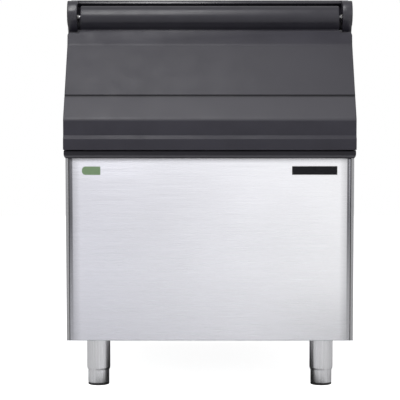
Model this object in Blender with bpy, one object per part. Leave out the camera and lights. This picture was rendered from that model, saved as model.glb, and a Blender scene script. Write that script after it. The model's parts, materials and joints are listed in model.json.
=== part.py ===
"""Ice storage bin: an insulated steel cabinet on adjustable legs with a slanted, lift-up door.

Units are metres and +Z is up. The front faces -Y and the floor is at Z = 0. Side outlines are
written as (depth behind the front panel's face, height above the floor).
"""

import math

import bmesh
import bpy
from mathutils import Matrix, Vector

# Clearances and sheet stock
GAP = 0.0003
TURN_GAP = 0.0005
SHEET = 0.0012
OVERRUN = 0.060
MERGE = 0.00003
ARC_STEP = math.radians(18)
SMOOTH_ANGLE = math.radians(35)
FLAT_ANGLE = math.radians(0.05)
ROUND_PROFILE_SHARE = 0.5
ROUND_SEGMENTS = 3

# Cabinet
BODY_WIDTH = 0.762
BODY_DEPTH = 0.820
BASE_HEIGHT = 0.128
FRONT_PANEL_HEIGHT = 0.492
FRONT_BEND = 0.010
FRONT_RETURN = 0.022
SIDE_FRONT_FLANGE = 0.0075
SIDE_REAR_FLANGE = 0.020
SIDE_BEND = 0.002
PAN_LIP = 0.020
PAN_LIP_INSET = 0.026

# How far the sill and the hinge ears stand out past the body's sides
TRIM_SIDE_PROUD = 0.004

# Sill moulding across the front, under the door
SILL_PROUD = 0.010
SILL_LIP = 0.020
SILL_HOOK = 0.0065
SILL_SADDLE_RISE = 0.046
SILL_SADDLE_FALL = 0.014
SILL_ROUND = 0.003
SILL_WRAP = 0.020
SADDLE_FOOT = 0.019

# Door
DOOR_SIDE_PROUD = 0.007
DOOR_GAP = 0.0035
DOOR_PROUD = 0.025
DOOR_LIP = 0.0288
DOOR_LEDGE_RISE = 0.009
DOOR_LEDGE_RUN = 0.008
DOOR_FACE = 0.0412
DOOR_LOWER_SLOPE = 0.062
DOOR_UPPER_SLOPE = 0.1316
DOOR_SLOPE_LEAN = math.radians(40.7)
DOOR_TOP_RISE = 0.0364
DOOR_TOP_LEAN = math.radians(15.4)
DOOR_THICK = 0.022
DOOR_WALL = 0.003
DOOR_EDGE_ROUND = 0.005
DOOR_FACE_BEND = 0.012
DOOR_SLOPE_BEND = 0.036
DOOR_SMALL_ROUND = 0.003
GROOVE_DEPTH = 0.0022
GROOVE_WIDTH = 0.005
DOOR_SEAT_GAP = 0.002
DOOR_LINER_THICK = 0.0025
DOOR_FIELD_RISE = 0.006
DOOR_FIELD_SIDE_INSET = 0.021
DOOR_FIELD_START = 0.030
DOOR_FIELD_LENGTH = 0.190

# Roll along the door's top, turning between the ears
ROLL_RADIUS = 0.032
ROLL_WALL = 0.003
ROLL_END_GAP = 0.008
ROLL_BEHIND_SHOULDER = 0.030
ROLL_ABOVE_SHOULDER = 0.0384
ROLL_STEPS = 40
NECK_BEHIND_SHOULDER = 0.014
NECK_FOOT_INSET = 0.003
NECK_FOOT_RISE = 0.003
NECK_FOOT_ROUND = 0.0025
PLUG_LENGTH = 0.024

# Hinge
PIN_RADIUS = 0.004
PIN_HEAD_RADIUS = 0.008
PIN_HEAD = 0.003
BUSH_WALL = 0.001
BUSH_COLLAR_RADIUS = 0.0065
BUSH_COLLAR = 0.005
HINGE_STEPS = 20

# Side frames with their hinge ears
EAR_WIDTH = 0.023
EAR_RADIUS = 0.035
EAR_ABOVE_AXIS = 0.009
EAR_BLOCK_BELOW = 0.0145
EAR_BACK = 0.050
EAR_STEPS = 14
FRAME_FACE = 0.004
FRAME_DEPTH = 0.046
FRAME_SKIRT = 0.020
FRAME_PAST_LINER = 0.003
FRAME_ROOT = 0.020
CAP_BULGE = 0.004
CAP_PLUG = 0.004
CAP_PLUG_RADIUS = 0.020
CAP_RINGS = 5
CAP_STEPS = 32

# Top rail behind the roll and the rim that the ice maker stands on
RAIL_ABOVE_AXIS = 0.0456
RAIL_TROUGH_GAP = 0.004
RAIL_TOP_SET_BACK = 0.034
RAIL_NOSE = 0.0085
RAIL_RECESS = 0.009
RAIL_ROUND = 0.004
RAIL_DEPTH = 0.079
RAIL_LIP = 0.0038
RAIL_LIP_THICK = 0.0095
TROUGH_STEPS = 10
RIM_THICK = 0.011
RIM_INSIDE = 0.002
RIM_CORNER = 0.030

# Liner and insulation
LINER_WALL = 0.003
INSULATION_SIDE = 0.047
INSULATION_FRONT = 0.0505
INSULATION_BACK = 0.048
FLOOR_ABOVE_BASE = 0.049
FLOOR_FALL = 0.013
DRAIN_FLAT = 0.128
LINER_ROUND = 0.035
LINER_SIDE_ROUND = 0.0175

# Ice baffle hung inside, behind the door opening
BAFFLE_SIDE_GAP = 0.031
BAFFLE_THICK = 0.002
BAFFLE_FLANGE = 0.036
BAFFLE_DROP = 0.150
BAFFLE_LEAN = 0.030
BAFFLE_KICK = 0.018
BAFFLE_SET_BACK = 0.022
BAFFLE_BEND = 0.006
BAFFLE_SCREW_INSET = 0.100

# Drain
DRAIN_RADIUS = 0.015
DRAIN_BORE = 0.011
DRAIN_FLANGE_RADIUS = 0.026
DRAIN_FLANGE = 0.003
DRAIN_FLANGE_CHAMFER = 0.0015
DRAIN_FROM_BACK = 0.120
DRAIN_BELOW_BASE = 0.026
DRAIN_SEAL = 0.002
NUT_HEIGHT = 0.010
DRAIN_NUT_RADIUS = 0.024
DRAIN_STEPS = 24
NUT_SIDES = 6

# Legs
LEG_RADIUS = 0.03125
LEG_WALL = 0.0024
LEG_SIDE_INSET = 0.081
LEG_END_INSET = 0.062
LEG_FOOT_SHOWN = 0.0416
LEG_CHAMFER = 0.0015
LEG_CHAMFER_RISE = 0.0045
LEG_CROWN = 0.014
LEG_STEPS = 36
STUD_RADIUS = 0.006
STUD_LENGTH = 0.018
PLATE_SIDE = 0.090
PLATE_THICK = 0.003
LEG_NUT_RADIUS = 0.0105
FOOT_WALL = 0.003
FOOT_INSIDE = 0.048
FOOT_CHAMFER = 0.002
PAD_HEIGHT = 0.005

# Screws and bumpers
SCREW_RADIUS = 0.004
SCREW_HEAD = 0.0025
SCREW_STEPS = 10
BACK_SCREW_ROWS = 3
BACK_SCREW_END_INSET = 0.060
FRAME_SCREW_SHARES = {"lower": 0.06, "upper": 0.94}
FRAME_SCREW_INSET = 0.009
BUMPER_RADIUS = 0.006
BUMPER_SHARES = {"lower": 0.20, "upper": 0.80}
BUMPER_INSET = 0.038

# Places that follow from the sizes above
FRONT_Y = (DOOR_PROUD - BODY_DEPTH - SCREW_HEAD - GAP) / 2
HALF_BODY = BODY_WIDTH / 2
HALF_DOOR = HALF_BODY + DOOR_SIDE_PROUD
EAR_OUTER = HALF_BODY + TRIM_SIDE_PROUD
EAR_INNER = EAR_OUTER - EAR_WIDTH
HALF_ROLL = EAR_INNER - ROLL_END_GAP
PANEL_TOP = BASE_HEIGHT + SHEET + GAP + FRONT_PANEL_HEIGHT
SILL_TOP = PANEL_TOP - SILL_HOOK + SILL_LIP
DOOR_BOTTOM = SILL_TOP + DOOR_GAP
DOOR_FACE_DEPTH = DOOR_LEDGE_RUN - DOOR_PROUD
DOOR_FACE_TOP = DOOR_BOTTOM + DOOR_LIP + DOOR_LEDGE_RISE + DOOR_FACE
SLOPE_RISE = DOOR_LOWER_SLOPE + DOOR_UPPER_SLOPE
SLOPE_END_DEPTH = DOOR_FACE_DEPTH + SLOPE_RISE * math.tan(DOOR_SLOPE_LEAN)
SLOPE_END_HEIGHT = DOOR_FACE_TOP + SLOPE_RISE
SHOULDER_DEPTH = SLOPE_END_DEPTH + DOOR_TOP_RISE * math.tan(DOOR_TOP_LEAN)
SHOULDER_HEIGHT = SLOPE_END_HEIGHT + DOOR_TOP_RISE
AXIS_DEPTH = SHOULDER_DEPTH + ROLL_BEHIND_SHOULDER
AXIS_HEIGHT = SHOULDER_HEIGHT + ROLL_ABOVE_SHOULDER
EAR_FOOT = AXIS_HEIGHT + EAR_ABOVE_AXIS - EAR_RADIUS - EAR_BLOCK_BELOW
RIM_TOP = AXIS_HEIGHT + RAIL_ABOVE_AXIS
DECK_HEIGHT = RIM_TOP - RIM_THICK
RIM_FRONT = AXIS_DEPTH + EAR_BACK + GAP
LINER_OUTER_X = HALF_BODY - INSULATION_SIDE
LINER_INNER_X = LINER_OUTER_X - LINER_WALL
FRAME_INNER = LINER_INNER_X - FRAME_PAST_LINER
LINER_FRONT = SHEET + INSULATION_FRONT
LINER_BACK = BODY_DEPTH - INSULATION_BACK
LINER_FLOOR_BACK = BASE_HEIGHT + FLOOR_ABOVE_BASE
LINER_FLOOR_FRONT = LINER_FLOOR_BACK + FLOOR_FALL
LINER_WALL_TOP = SILL_TOP
DRAIN_DEPTH = BODY_DEPTH - DRAIN_FROM_BACK
LEG_X = HALF_BODY - LEG_SIDE_INSET
LEG_PLACES = {
    "front_left": (-LEG_X, LEG_END_INSET),
    "front_right": (LEG_X, LEG_END_INSET),
    "rear_left": (-LEG_X, BODY_DEPTH - LEG_END_INSET),
    "rear_right": (LEG_X, BODY_DEPTH - LEG_END_INSET),
}
FOOT_RADIUS = LEG_RADIUS - LEG_WALL - TURN_GAP
PIN_BORE = PIN_RADIUS + TURN_GAP
BUSH_RADIUS = PIN_BORE + BUSH_WALL
SIDES = (("right", 1), ("left", -1))


def clear_scene():
    for obj in list(bpy.data.objects):
        bpy.data.objects.remove(obj, do_unlink=True)


def material(name, colour, roughness, metallic):
    """One Principled material: colour is linear red, green and blue."""
    made = bpy.data.materials.new(name)
    made.use_nodes = True
    shader = made.node_tree.nodes["Principled BSDF"]
    shader.inputs["Base Color"].default_value = (*colour, 1)
    shader.inputs["Roughness"].default_value = roughness
    shader.inputs["Metallic"].default_value = metallic
    return made


def brushed_steel(name):
    return material(name, (0.62, 0.62, 0.64), 0.32, 1)


def galvanised(name):
    return material(name, (0.50, 0.52, 0.54), 0.45, 1)


def dark_plastic(name):
    return material(name, (0.085, 0.085, 0.095), 0.42, 0)


def pale_plastic(name):
    return material(name, (0.80, 0.82, 0.84), 0.40, 0)


def black_rubber(name):
    return material(name, (0.02, 0.02, 0.02), 0.70, 0)


def foam(name):
    return material(name, (0.85, 0.78, 0.55), 0.90, 0)


def unit(vector):
    length = math.hypot(*vector)
    return tuple(part / length for part in vector)


def rounded(corners):
    """Replaces each corner (a, b, radius) of a closed outline by an arc of that radius."""
    points = []
    for index, (a, b, radius) in enumerate(corners):
        if radius == 0:
            points.append((a, b))
            continue
        before = corners[index - 1]
        after = corners[(index + 1) % len(corners)]
        corner = Vector((a, b))
        back = (Vector(before[:2]) - corner).normalized()
        ahead = (Vector(after[:2]) - corner).normalized()
        inside = back.angle(ahead)
        middle = corner + (back + ahead).normalized() * radius / math.sin(inside / 2)
        start = corner + back * radius / math.tan(inside / 2) - middle
        turn = math.copysign(math.pi - inside, back.x * ahead.y - back.y * ahead.x)
        steps = max(1, round(abs(turn) / ARC_STEP))
        for step in range(steps + 1):
            spoke = Matrix.Rotation(-turn * step / steps, 2) @ start
            points.append(tuple(middle + spoke))
    return points


def meet(start, along, other, other_along):
    """Where the line from start meets the line from other."""
    cross = along[0] * other_along[1] - along[1] * other_along[0]
    away = (other[0] - start[0], other[1] - start[1])
    share = (away[0] * other_along[1] - away[1] * other_along[0]) / cross
    return (start[0] + along[0] * share, start[1] + along[1] * share)


def inward(points, distance):
    """Moves an open line of (depth, height) points into the cabinet, square to each stretch."""
    runs = [unit((b[0] - a[0], b[1] - a[1])) for a, b in zip(points, points[1:])]
    moved = [
        (start[0] + run[1] * distance, start[1] - run[0] * distance)
        for start, run in zip(points, runs)
    ]
    last, end = runs[-1], points[-1]
    joints = [
        meet(moved[index], runs[index], moved[index + 1], runs[index + 1])
        for index in range(len(runs) - 1)
    ]
    return [moved[0], *joints, (end[0] + last[1] * distance, end[1] - last[0] * distance)]


def at_height(points, height):
    """The place on an upward line of (depth, height) points at this height."""
    for a, b in zip(points, points[1:]):
        if a[1] <= height <= b[1]:
            break
    return (a[0] + (b[0] - a[0]) * (height - a[1]) / (b[1] - a[1]), height)


def between(points, low, high):
    """The part of an upward line between two heights, ended exactly on them."""
    first, last = points[0], points[-1]
    long = [(first[0], min(first[1], low)), *points, (last[0], max(last[1], high))]
    inner = [point for point in points if low < point[1] < high]
    return [at_height(long, low), *inner, at_height(long, high)]


def finish(name, mesh, look=None):
    obj = bpy.data.objects.new(name, mesh)
    bpy.context.scene.collection.objects.link(obj)
    if look:
        mesh.materials.append(look)
    return obj


def prism(name, outline, low, high, axis, look=None, round_ends=0):
    """Extrudes a closed outline from low to high along "x" (side outline) or "z" (plan outline)."""
    shape = bmesh.new()
    for end in (low, high):
        if axis == "x":
            places = [(end, depth + FRONT_Y, height) for depth, height in outline]
        else:
            places = [(across, depth + FRONT_Y, end) for across, depth in outline]
        shape.faces.new([shape.verts.new(place) for place in places])
    shape.verts.ensure_lookup_table()
    count = len(outline)
    for index in range(count):
        after = (index + 1) % count
        ring = (index, after, count + after, count + index)
        shape.faces.new([shape.verts[corner] for corner in ring])
    bmesh.ops.recalc_face_normals(shape, faces=shape.faces)
    if round_ends:
        shape.faces.ensure_lookup_table()
        caps = set(shape.faces[:2])
        edges = [edge for edge in shape.edges if caps & set(edge.link_faces)]
        bmesh.ops.bevel(
            shape,
            geom=edges,
            offset=round_ends,
            segments=ROUND_SEGMENTS,
            profile=ROUND_PROFILE_SHARE,
            affect="EDGES",
            clamp_overlap=True,
        )
    mesh = bpy.data.meshes.new(name)
    shape.to_mesh(mesh)
    shape.free()
    return finish(name, mesh, look)


def box(name, low, high, look=None):
    """A block between two corners, each (across, depth, height)."""
    outline = [(low[0], low[1]), (high[0], low[1]), (high[0], high[1]), (low[0], high[1])]
    return prism(name, outline, low[2], high[2], "z", look)


def turned(name, profile, steps, look=None):
    """Turns a closed profile of (radius, height) points about +Z."""
    shape = bmesh.new()
    corners = [shape.verts.new((radius, 0, height)) for radius, height in profile]
    edges = [shape.edges.new((a, b)) for a, b in zip(corners, corners[1:] + corners[:1])]
    edges = [edge for edge in edges if any(vert.co.x > 0 for vert in edge.verts)]
    bmesh.ops.spin(
        shape, geom=edges, cent=(0, 0, 0), axis=(0, 0, 1), angle=math.tau, steps=steps, use_merge=True
    )
    bmesh.ops.remove_doubles(shape, verts=shape.verts, dist=MERGE)
    loose = [edge for edge in shape.edges if not edge.link_faces]
    bmesh.ops.delete(shape, geom=loose, context="EDGES")
    bmesh.ops.recalc_face_normals(shape, faces=shape.faces)
    mesh = bpy.data.meshes.new(name)
    shape.to_mesh(mesh)
    shape.free()
    mesh.shade_smooth()
    mesh.set_sharp_from_angle(angle=SMOOTH_ANGLE)
    return finish(name, mesh, look)


def rod(name, radius, low, high, steps, look=None):
    return turned(name, [(0, low), (radius, low), (radius, high), (0, high)], steps, look)


def stand(obj, across, depth, height, turn=None):
    """Turns the mesh where it stands, then puts the object's origin at this place."""
    if turn:
        obj.data.transform(turn)
    obj.location = (across, depth + FRONT_Y, height)
    return obj


def along_x(sign):
    """Turns +Z to point along X, to the right for sign 1 and to the left for sign -1."""
    return Matrix.Rotation(sign * math.pi / 2, 4, "Y")


def settle(obj):
    """Writes the object's place into its mesh, so that the mesh is in the cabinet's frame."""
    bpy.context.view_layer.update()
    obj.data.transform(obj.matrix_world)
    obj.matrix_world = Matrix()


def combine(target, tools, operation):
    """Applies one exact Boolean for each tool, which is then removed."""
    for tool in tools:
        cut = target.modifiers.new(tool.name, "BOOLEAN")
        cut.operation = operation
        cut.solver = "EXACT"
        cut.object = tool
    graph = bpy.context.evaluated_depsgraph_get()
    graph.update()
    mesh = bpy.data.meshes.new_from_object(target.evaluated_get(graph))
    target.modifiers.clear()
    target.data = mesh
    for tool in tools:
        bpy.data.objects.remove(tool, do_unlink=True)
    shape = bmesh.new()
    shape.from_mesh(mesh)
    bmesh.ops.dissolve_limit(
        shape, angle_limit=FLAT_ANGLE, verts=shape.verts, edges=shape.edges
    )
    shape.to_mesh(mesh)
    shape.free()
    mesh.shade_smooth()
    mesh.set_sharp_from_angle(angle=SMOOTH_ANGLE)
    return target


def join(target, tools):
    return combine(target, tools, "UNION")


def cut(target, tools):
    return combine(target, tools, "DIFFERENCE")


def mirrored(source, name, look):
    """The other side's copy of a piece whose mesh is in the cabinet's frame."""
    mesh = source.data.copy()
    mesh.transform(Matrix.Scale(-1, 4, (1, 0, 0)))
    mesh.flip_normals()
    mesh.materials.clear()
    return finish(name, mesh, look)


def door_line():
    """The door's outer side line without its lip, from the bottom edge to the shoulder."""
    return [
        (DOOR_FACE_DEPTH, DOOR_BOTTOM),
        (DOOR_FACE_DEPTH, DOOR_FACE_TOP),
        (SLOPE_END_DEPTH, SLOPE_END_HEIGHT),
        (SHOULDER_DEPTH, SHOULDER_HEIGHT),
    ]


def seat_line():
    """The line that the door closes against, on the side frames and the sill."""
    return inward(door_line(), DOOR_THICK + DOOR_SEAT_GAP)


def build_front_panel():
    """Stainless sheet with both upright edges bent back round a radius."""
    half = HALF_BODY - SIDE_FRONT_FLANGE - GAP
    outer = [
        (-half, FRONT_RETURN, 0),
        (-half, 0, FRONT_BEND),
        (half, 0, FRONT_BEND),
        (half, FRONT_RETURN, 0),
    ]
    inside = FRONT_BEND - SHEET
    inner = [
        (half - SHEET, FRONT_RETURN, 0),
        (half - SHEET, SHEET, inside),
        (-half + SHEET, SHEET, inside),
        (-half + SHEET, FRONT_RETURN, 0),
    ]
    low = BASE_HEIGHT + SHEET + GAP
    prism("front_panel", rounded(outer + inner), low, PANEL_TOP, "z", brushed_steel("front_panel_steel"))


def build_side_panels():
    """Stainless sheet, flanged at front and rear, with the front corner cut back for the door."""
    outer = [
        (HALF_BODY - SIDE_FRONT_FLANGE, 0, 0),
        (HALF_BODY, 0, SIDE_BEND),
        (HALF_BODY, BODY_DEPTH - SHEET - GAP, SIDE_BEND),
        (HALF_BODY - SIDE_REAR_FLANGE, BODY_DEPTH - SHEET - GAP, 0),
    ]
    inner_bend = SIDE_BEND - SHEET
    inner = [
        (HALF_BODY - SIDE_REAR_FLANGE, BODY_DEPTH - 2 * SHEET - GAP, 0),
        (HALF_BODY - SHEET, BODY_DEPTH - 2 * SHEET - GAP, inner_bend),
        (HALF_BODY - SHEET, SHEET, inner_bend),
        (HALF_BODY - SIDE_FRONT_FLANGE, SHEET, 0),
    ]
    low = BASE_HEIGHT + SHEET + GAP
    look = brushed_steel("right_side_steel")
    panel = prism("right_side_panel", rounded(outer + inner), low, DECK_HEIGHT - GAP, "z", look)
    edge = between(inward(seat_line(), FRAME_FACE + GAP), PANEL_TOP, EAR_FOOT - GAP)
    notch = [
        (-OVERRUN, PANEL_TOP),
        *edge,
        (AXIS_DEPTH + EAR_BACK + GAP, EAR_FOOT - GAP),
        (AXIS_DEPTH + EAR_BACK + GAP, DECK_HEIGHT + OVERRUN),
        (-OVERRUN, DECK_HEIGHT + OVERRUN),
    ]
    cutter = prism("door_corner", notch, HALF_BODY - SIDE_REAR_FLANGE - OVERRUN, HALF_BODY + OVERRUN, "x")
    cut(panel, [cutter])
    mirrored(panel, "left_side_panel", brushed_steel("left_side_steel"))


def build_back_panel():
    """Galvanised sheet screwed to the side panels' rear flanges."""
    box(
        "back_panel",
        (-HALF_BODY, BODY_DEPTH - SHEET, BASE_HEIGHT + SHEET + GAP),
        (HALF_BODY, BODY_DEPTH, DECK_HEIGHT - GAP),
        galvanised("back_panel_steel"),
    )


def build_base_pan():
    """Floor sheet with a lip along each side, holed for the leg studs and the drain."""
    look = galvanised("base_pan_steel")
    top = BASE_HEIGHT + SHEET
    pan = box("base_pan", (-HALF_BODY, 0, BASE_HEIGHT), (HALF_BODY, BODY_DEPTH, top), look)
    side = HALF_BODY - SHEET - GAP
    rear = BODY_DEPTH - 2 * SHEET - 2 * GAP
    front = SHEET + GAP
    lip_top = top + PAN_LIP
    inset = PAN_LIP_INSET
    lips = [
        box("lip", (side - SHEET, inset, BASE_HEIGHT), (side, BODY_DEPTH - inset, lip_top)),
        box("lip", (-side, inset, BASE_HEIGHT), (SHEET - side, BODY_DEPTH - inset, lip_top)),
        box("lip", (inset - side, front, BASE_HEIGHT), (side - inset, front + SHEET, lip_top)),
        box("lip", (inset - side, rear - SHEET, BASE_HEIGHT), (side - inset, rear, lip_top)),
    ]
    join(pan, lips)
    holes = [
        stand(rod("hole", STUD_RADIUS + GAP, -OVERRUN, OVERRUN, HINGE_STEPS), across, depth, BASE_HEIGHT)
        for across, depth in LEG_PLACES.values()
    ]
    drain = rod("hole", DRAIN_RADIUS + GAP, -OVERRUN, OVERRUN, DRAIN_STEPS)
    holes.append(stand(drain, 0, DRAIN_DEPTH, BASE_HEIGHT))
    cut(pan, holes)


def build_sill_trim():
    """Plastic moulding that caps the front wall: a lip over the steel and a saddle behind the door."""
    seat = seat_line()[0][0]
    half = EAR_OUTER
    bottom = PANEL_TOP - SILL_HOOK
    look = dark_plastic("sill_plastic")
    lip = [
        (-SILL_PROUD, bottom, SILL_ROUND),
        (-SILL_PROUD, SILL_TOP, SILL_ROUND),
        (seat + FRAME_FACE, SILL_TOP, 0),
        (seat + FRAME_FACE, PANEL_TOP + GAP, 0),
        (-GAP, PANEL_TOP + GAP, 0),
        (-GAP, bottom, 0),
    ]
    trim = prism("sill_trim", rounded(lip), -half, half, "x", look)
    inner = FRAME_INNER - GAP
    back = LINER_FRONT + LINER_WALL + GAP
    crest = SILL_TOP + SILL_SADDLE_RISE
    saddle = [
        (seat, PANEL_TOP + GAP, 0),
        (seat, crest, SILL_ROUND),
        (back + LINER_WALL, crest - SILL_SADDLE_FALL, SILL_ROUND),
        (back + LINER_WALL, LINER_WALL_TOP + GAP, 0),
        (LINER_FRONT - GAP, LINER_WALL_TOP + GAP, 0),
        (LINER_FRONT - GAP, PANEL_TOP + GAP, 0),
    ]
    leg_half = LINER_INNER_X - LINER_ROUND
    leg_low = LINER_WALL_TOP - SADDLE_FOOT
    leg_top = crest - SILL_SADDLE_FALL - SILL_ROUND
    leg = box("leg", (-leg_half, back, leg_low), (leg_half, back + LINER_WALL, leg_top))
    tools = [prism("saddle", rounded(saddle), -inner, inner, "x"), leg]
    for low, high in ((HALF_BODY + GAP, half), (-half, -HALF_BODY - GAP)):
        tools.append(box("wrap", (low, -SILL_PROUD / 2, bottom), (high, SILL_WRAP, SILL_TOP)))
    join(trim, tools)


def ear_outline(foot, foot_front):
    """Side outline of an ear: a drum round the hinge, carried on a block behind and below it."""
    centre = AXIS_HEIGHT + EAR_ABOVE_AXIS
    front = seat_line()[-1][0]
    reach = AXIS_DEPTH - front
    first = math.asin(reach / EAR_RADIUS)
    steps = EAR_STEPS
    drum = []
    for step in range(steps + 1):
        angle = first + (math.pi - first) * step / steps
        drum.append((AXIS_DEPTH - EAR_RADIUS * math.sin(angle), centre - EAR_RADIUS * math.cos(angle)))
    top = centre + EAR_RADIUS
    return [*foot_front, *drum, (AXIS_DEPTH + EAR_BACK, top), (AXIS_DEPTH + EAR_BACK, foot)]


def build_side_frames():
    """Plastic member down each slanted edge: it caps the side panel and carries the hinge ear."""
    seat = seat_line()
    top = SHOULDER_HEIGHT - RAIL_LIP_THICK - GAP
    low = SILL_TOP + GAP
    face = between(seat, low, top)
    behind_face = between(inward(seat, FRAME_FACE), low, top)
    behind_member = between(inward(seat, FRAME_DEPTH), low, top)
    inner_x = HALF_BODY - SHEET - GAP
    member_x = LINER_OUTER_X + GAP
    lap = SHEET / 2
    look = dark_plastic("right_frame_plastic")
    frame = prism("right_side_frame", face + behind_face[::-1], FRAME_INNER, inner_x, "x", look)
    front = seat[-1][0]
    root_low = top - FRAME_ROOT
    root = between(seat, root_low, top)
    root_back = (root[0][0] + EAR_BACK - FRAME_ROOT, root_low)
    inner_ear = ear_outline(top + GAP, [root_back, root[0], root[-1]])
    inner_ear = [*inner_ear, (behind_member[-1][0] - lap, top + GAP)]
    outer_ear = ear_outline(EAR_FOOT, [(front, EAR_FOOT)])
    cap = between(seat, low, EAR_FOOT + GAP)
    cap_back = between(inward(seat, FRAME_FACE), low, EAR_FOOT + GAP)
    skirt_back = between(inward(seat, FRAME_SKIRT), low, EAR_FOOT - FRAME_SKIRT)
    block_back = AXIS_DEPTH + EAR_BACK + FRAME_SKIRT
    ear_top = AXIS_HEIGHT + EAR_ABOVE_AXIS + EAR_RADIUS
    skirt = [
        *between(seat, low, EAR_FOOT),
        (front + GAP, EAR_FOOT + GAP),
        (AXIS_DEPTH + EAR_BACK - GAP, EAR_FOOT + GAP),
        (AXIS_DEPTH + EAR_BACK - GAP, ear_top - GAP),
        (block_back, ear_top - GAP),
        (block_back, EAR_FOOT - FRAME_SKIRT),
        *skirt_back[::-1],
    ]
    tools = [
        prism("member", face + behind_member[::-1], member_x, inner_x, "x"),
        prism("inner_ear", inner_ear, EAR_INNER, inner_x, "x"),
        prism("outer_ear", outer_ear, inner_x - lap, EAR_OUTER, "x"),
        prism("cap", cap + cap_back[::-1], inner_x - lap, EAR_OUTER, "x"),
        prism("skirt", skirt, HALF_BODY + GAP, EAR_OUTER, "x"),
    ]
    join(frame, tools)
    bore = rod("bore", BUSH_RADIUS + GAP, EAR_INNER - OVERRUN, EAR_OUTER + OVERRUN, HINGE_STEPS)
    recess_end = EAR_OUTER - CAP_PLUG - PIN_HEAD
    recess = rod("recess", CAP_PLUG_RADIUS + GAP, recess_end, EAR_OUTER + OVERRUN, CAP_STEPS)
    for tool in (bore, recess):
        stand(tool, 0, AXIS_DEPTH, AXIS_HEIGHT, along_x(1))
    cut(frame, [bore, recess])
    mirrored(frame, "left_side_frame", dark_plastic("left_frame_plastic"))


def build_top_rail():
    """Plastic cross member behind the roll: a trough that the roll turns in, under a rounded nose."""
    front = seat_line()[-1][0]
    reach = ROLL_RADIUS + RAIL_TROUGH_GAP
    first = math.asin((front - AXIS_DEPTH + GAP) / reach)
    lip_bottom = SHOULDER_HEIGHT - RAIL_LIP_THICK
    trough = []
    for step in range(TROUGH_STEPS + 1):
        angle = first + (math.pi / 2 - first) * step / TROUGH_STEPS
        trough.append((AXIS_DEPTH + reach * math.sin(angle), AXIS_HEIGHT - reach * math.cos(angle), 0))
    underside = lip_bottom + RAIL_LIP
    nose = AXIS_DEPTH + RAIL_TOP_SET_BACK
    outline = [
        (front + GAP, lip_bottom, 0),
        *trough,
        (nose + RAIL_RECESS, AXIS_HEIGHT, RAIL_ROUND),
        (nose + RAIL_RECESS, RIM_TOP - RAIL_NOSE, 0),
        (nose, RIM_TOP - RAIL_NOSE, RAIL_ROUND),
        (nose, RIM_TOP, RAIL_ROUND),
        (RIM_FRONT - GAP, RIM_TOP, 0),
        (RIM_FRONT - GAP, DECK_HEIGHT - GAP, 0),
        (front + RAIL_DEPTH, DECK_HEIGHT - GAP, 0),
        (front + RAIL_DEPTH, underside, 0),
        (front + RAIL_LIP_THICK, underside, 0),
        (front + RAIL_LIP_THICK, lip_bottom, 0),
    ]
    half = EAR_INNER - GAP
    prism("top_rail", rounded(outline), -half, half, "x", dark_plastic("rail_plastic"))


def build_top_rim():
    """Flat ring round the bin's mouth that the ice maker stands on."""
    look = dark_plastic("rim_plastic")
    rim = box("top_rim", (-HALF_BODY, RIM_FRONT, DECK_HEIGHT), (HALF_BODY, BODY_DEPTH, RIM_TOP), look)
    side = LINER_INNER_X - RIM_INSIDE
    front = seat_line()[-1][0] + RAIL_DEPTH + LINER_WALL + RIM_INSIDE
    back = LINER_BACK - LINER_WALL - RIM_INSIDE
    mouth = [
        (-side, front, RIM_CORNER),
        (side, front, RIM_CORNER),
        (side, back, RIM_CORNER),
        (-side, back, RIM_CORNER),
    ]
    cut(rim, [prism("mouth", rounded(mouth), DECK_HEIGHT - OVERRUN, RIM_TOP + OVERRUN, "z")])


def liner_outline(grow):
    """Side outline of the liner's outer face, moved outwards by grow."""
    seat = seat_line()
    front = seat[-1][0]
    lip_bottom = SHOULDER_HEIGHT - RAIL_LIP_THICK
    underside = lip_bottom + RAIL_LIP - GAP
    wall = LINER_FRONT - grow
    slant = between(inward(seat, FRAME_FACE + GAP - grow), DOOR_FACE_TOP, lip_bottom - GAP + grow)
    climb = next((a, b) for a, b in zip(slant, slant[1:]) if b[0] > wall)
    share = (wall - climb[0][0]) / (climb[1][0] - climb[0][0])
    foot = (wall, climb[0][1] + (climb[1][1] - climb[0][1]) * share)
    return [
        (wall, LINER_FLOOR_FRONT - LINER_WALL - grow),
        foot,
        *[point for point in slant if point[1] > foot[1]],
        (front + RAIL_LIP_THICK + GAP - grow, lip_bottom - GAP + grow),
        (front + RAIL_LIP_THICK + GAP - grow, underside + grow),
        (front + RAIL_DEPTH + GAP - grow, underside + grow),
        (front + RAIL_DEPTH + GAP - grow, DECK_HEIGHT - GAP + grow),
        (LINER_BACK + grow, DECK_HEIGHT - GAP + grow),
        (LINER_BACK + grow, LINER_FLOOR_BACK - LINER_WALL - grow),
        (BODY_DEPTH - INSULATION_BACK - DRAIN_FLAT, LINER_FLOOR_BACK - LINER_WALL - grow),
    ]


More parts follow.
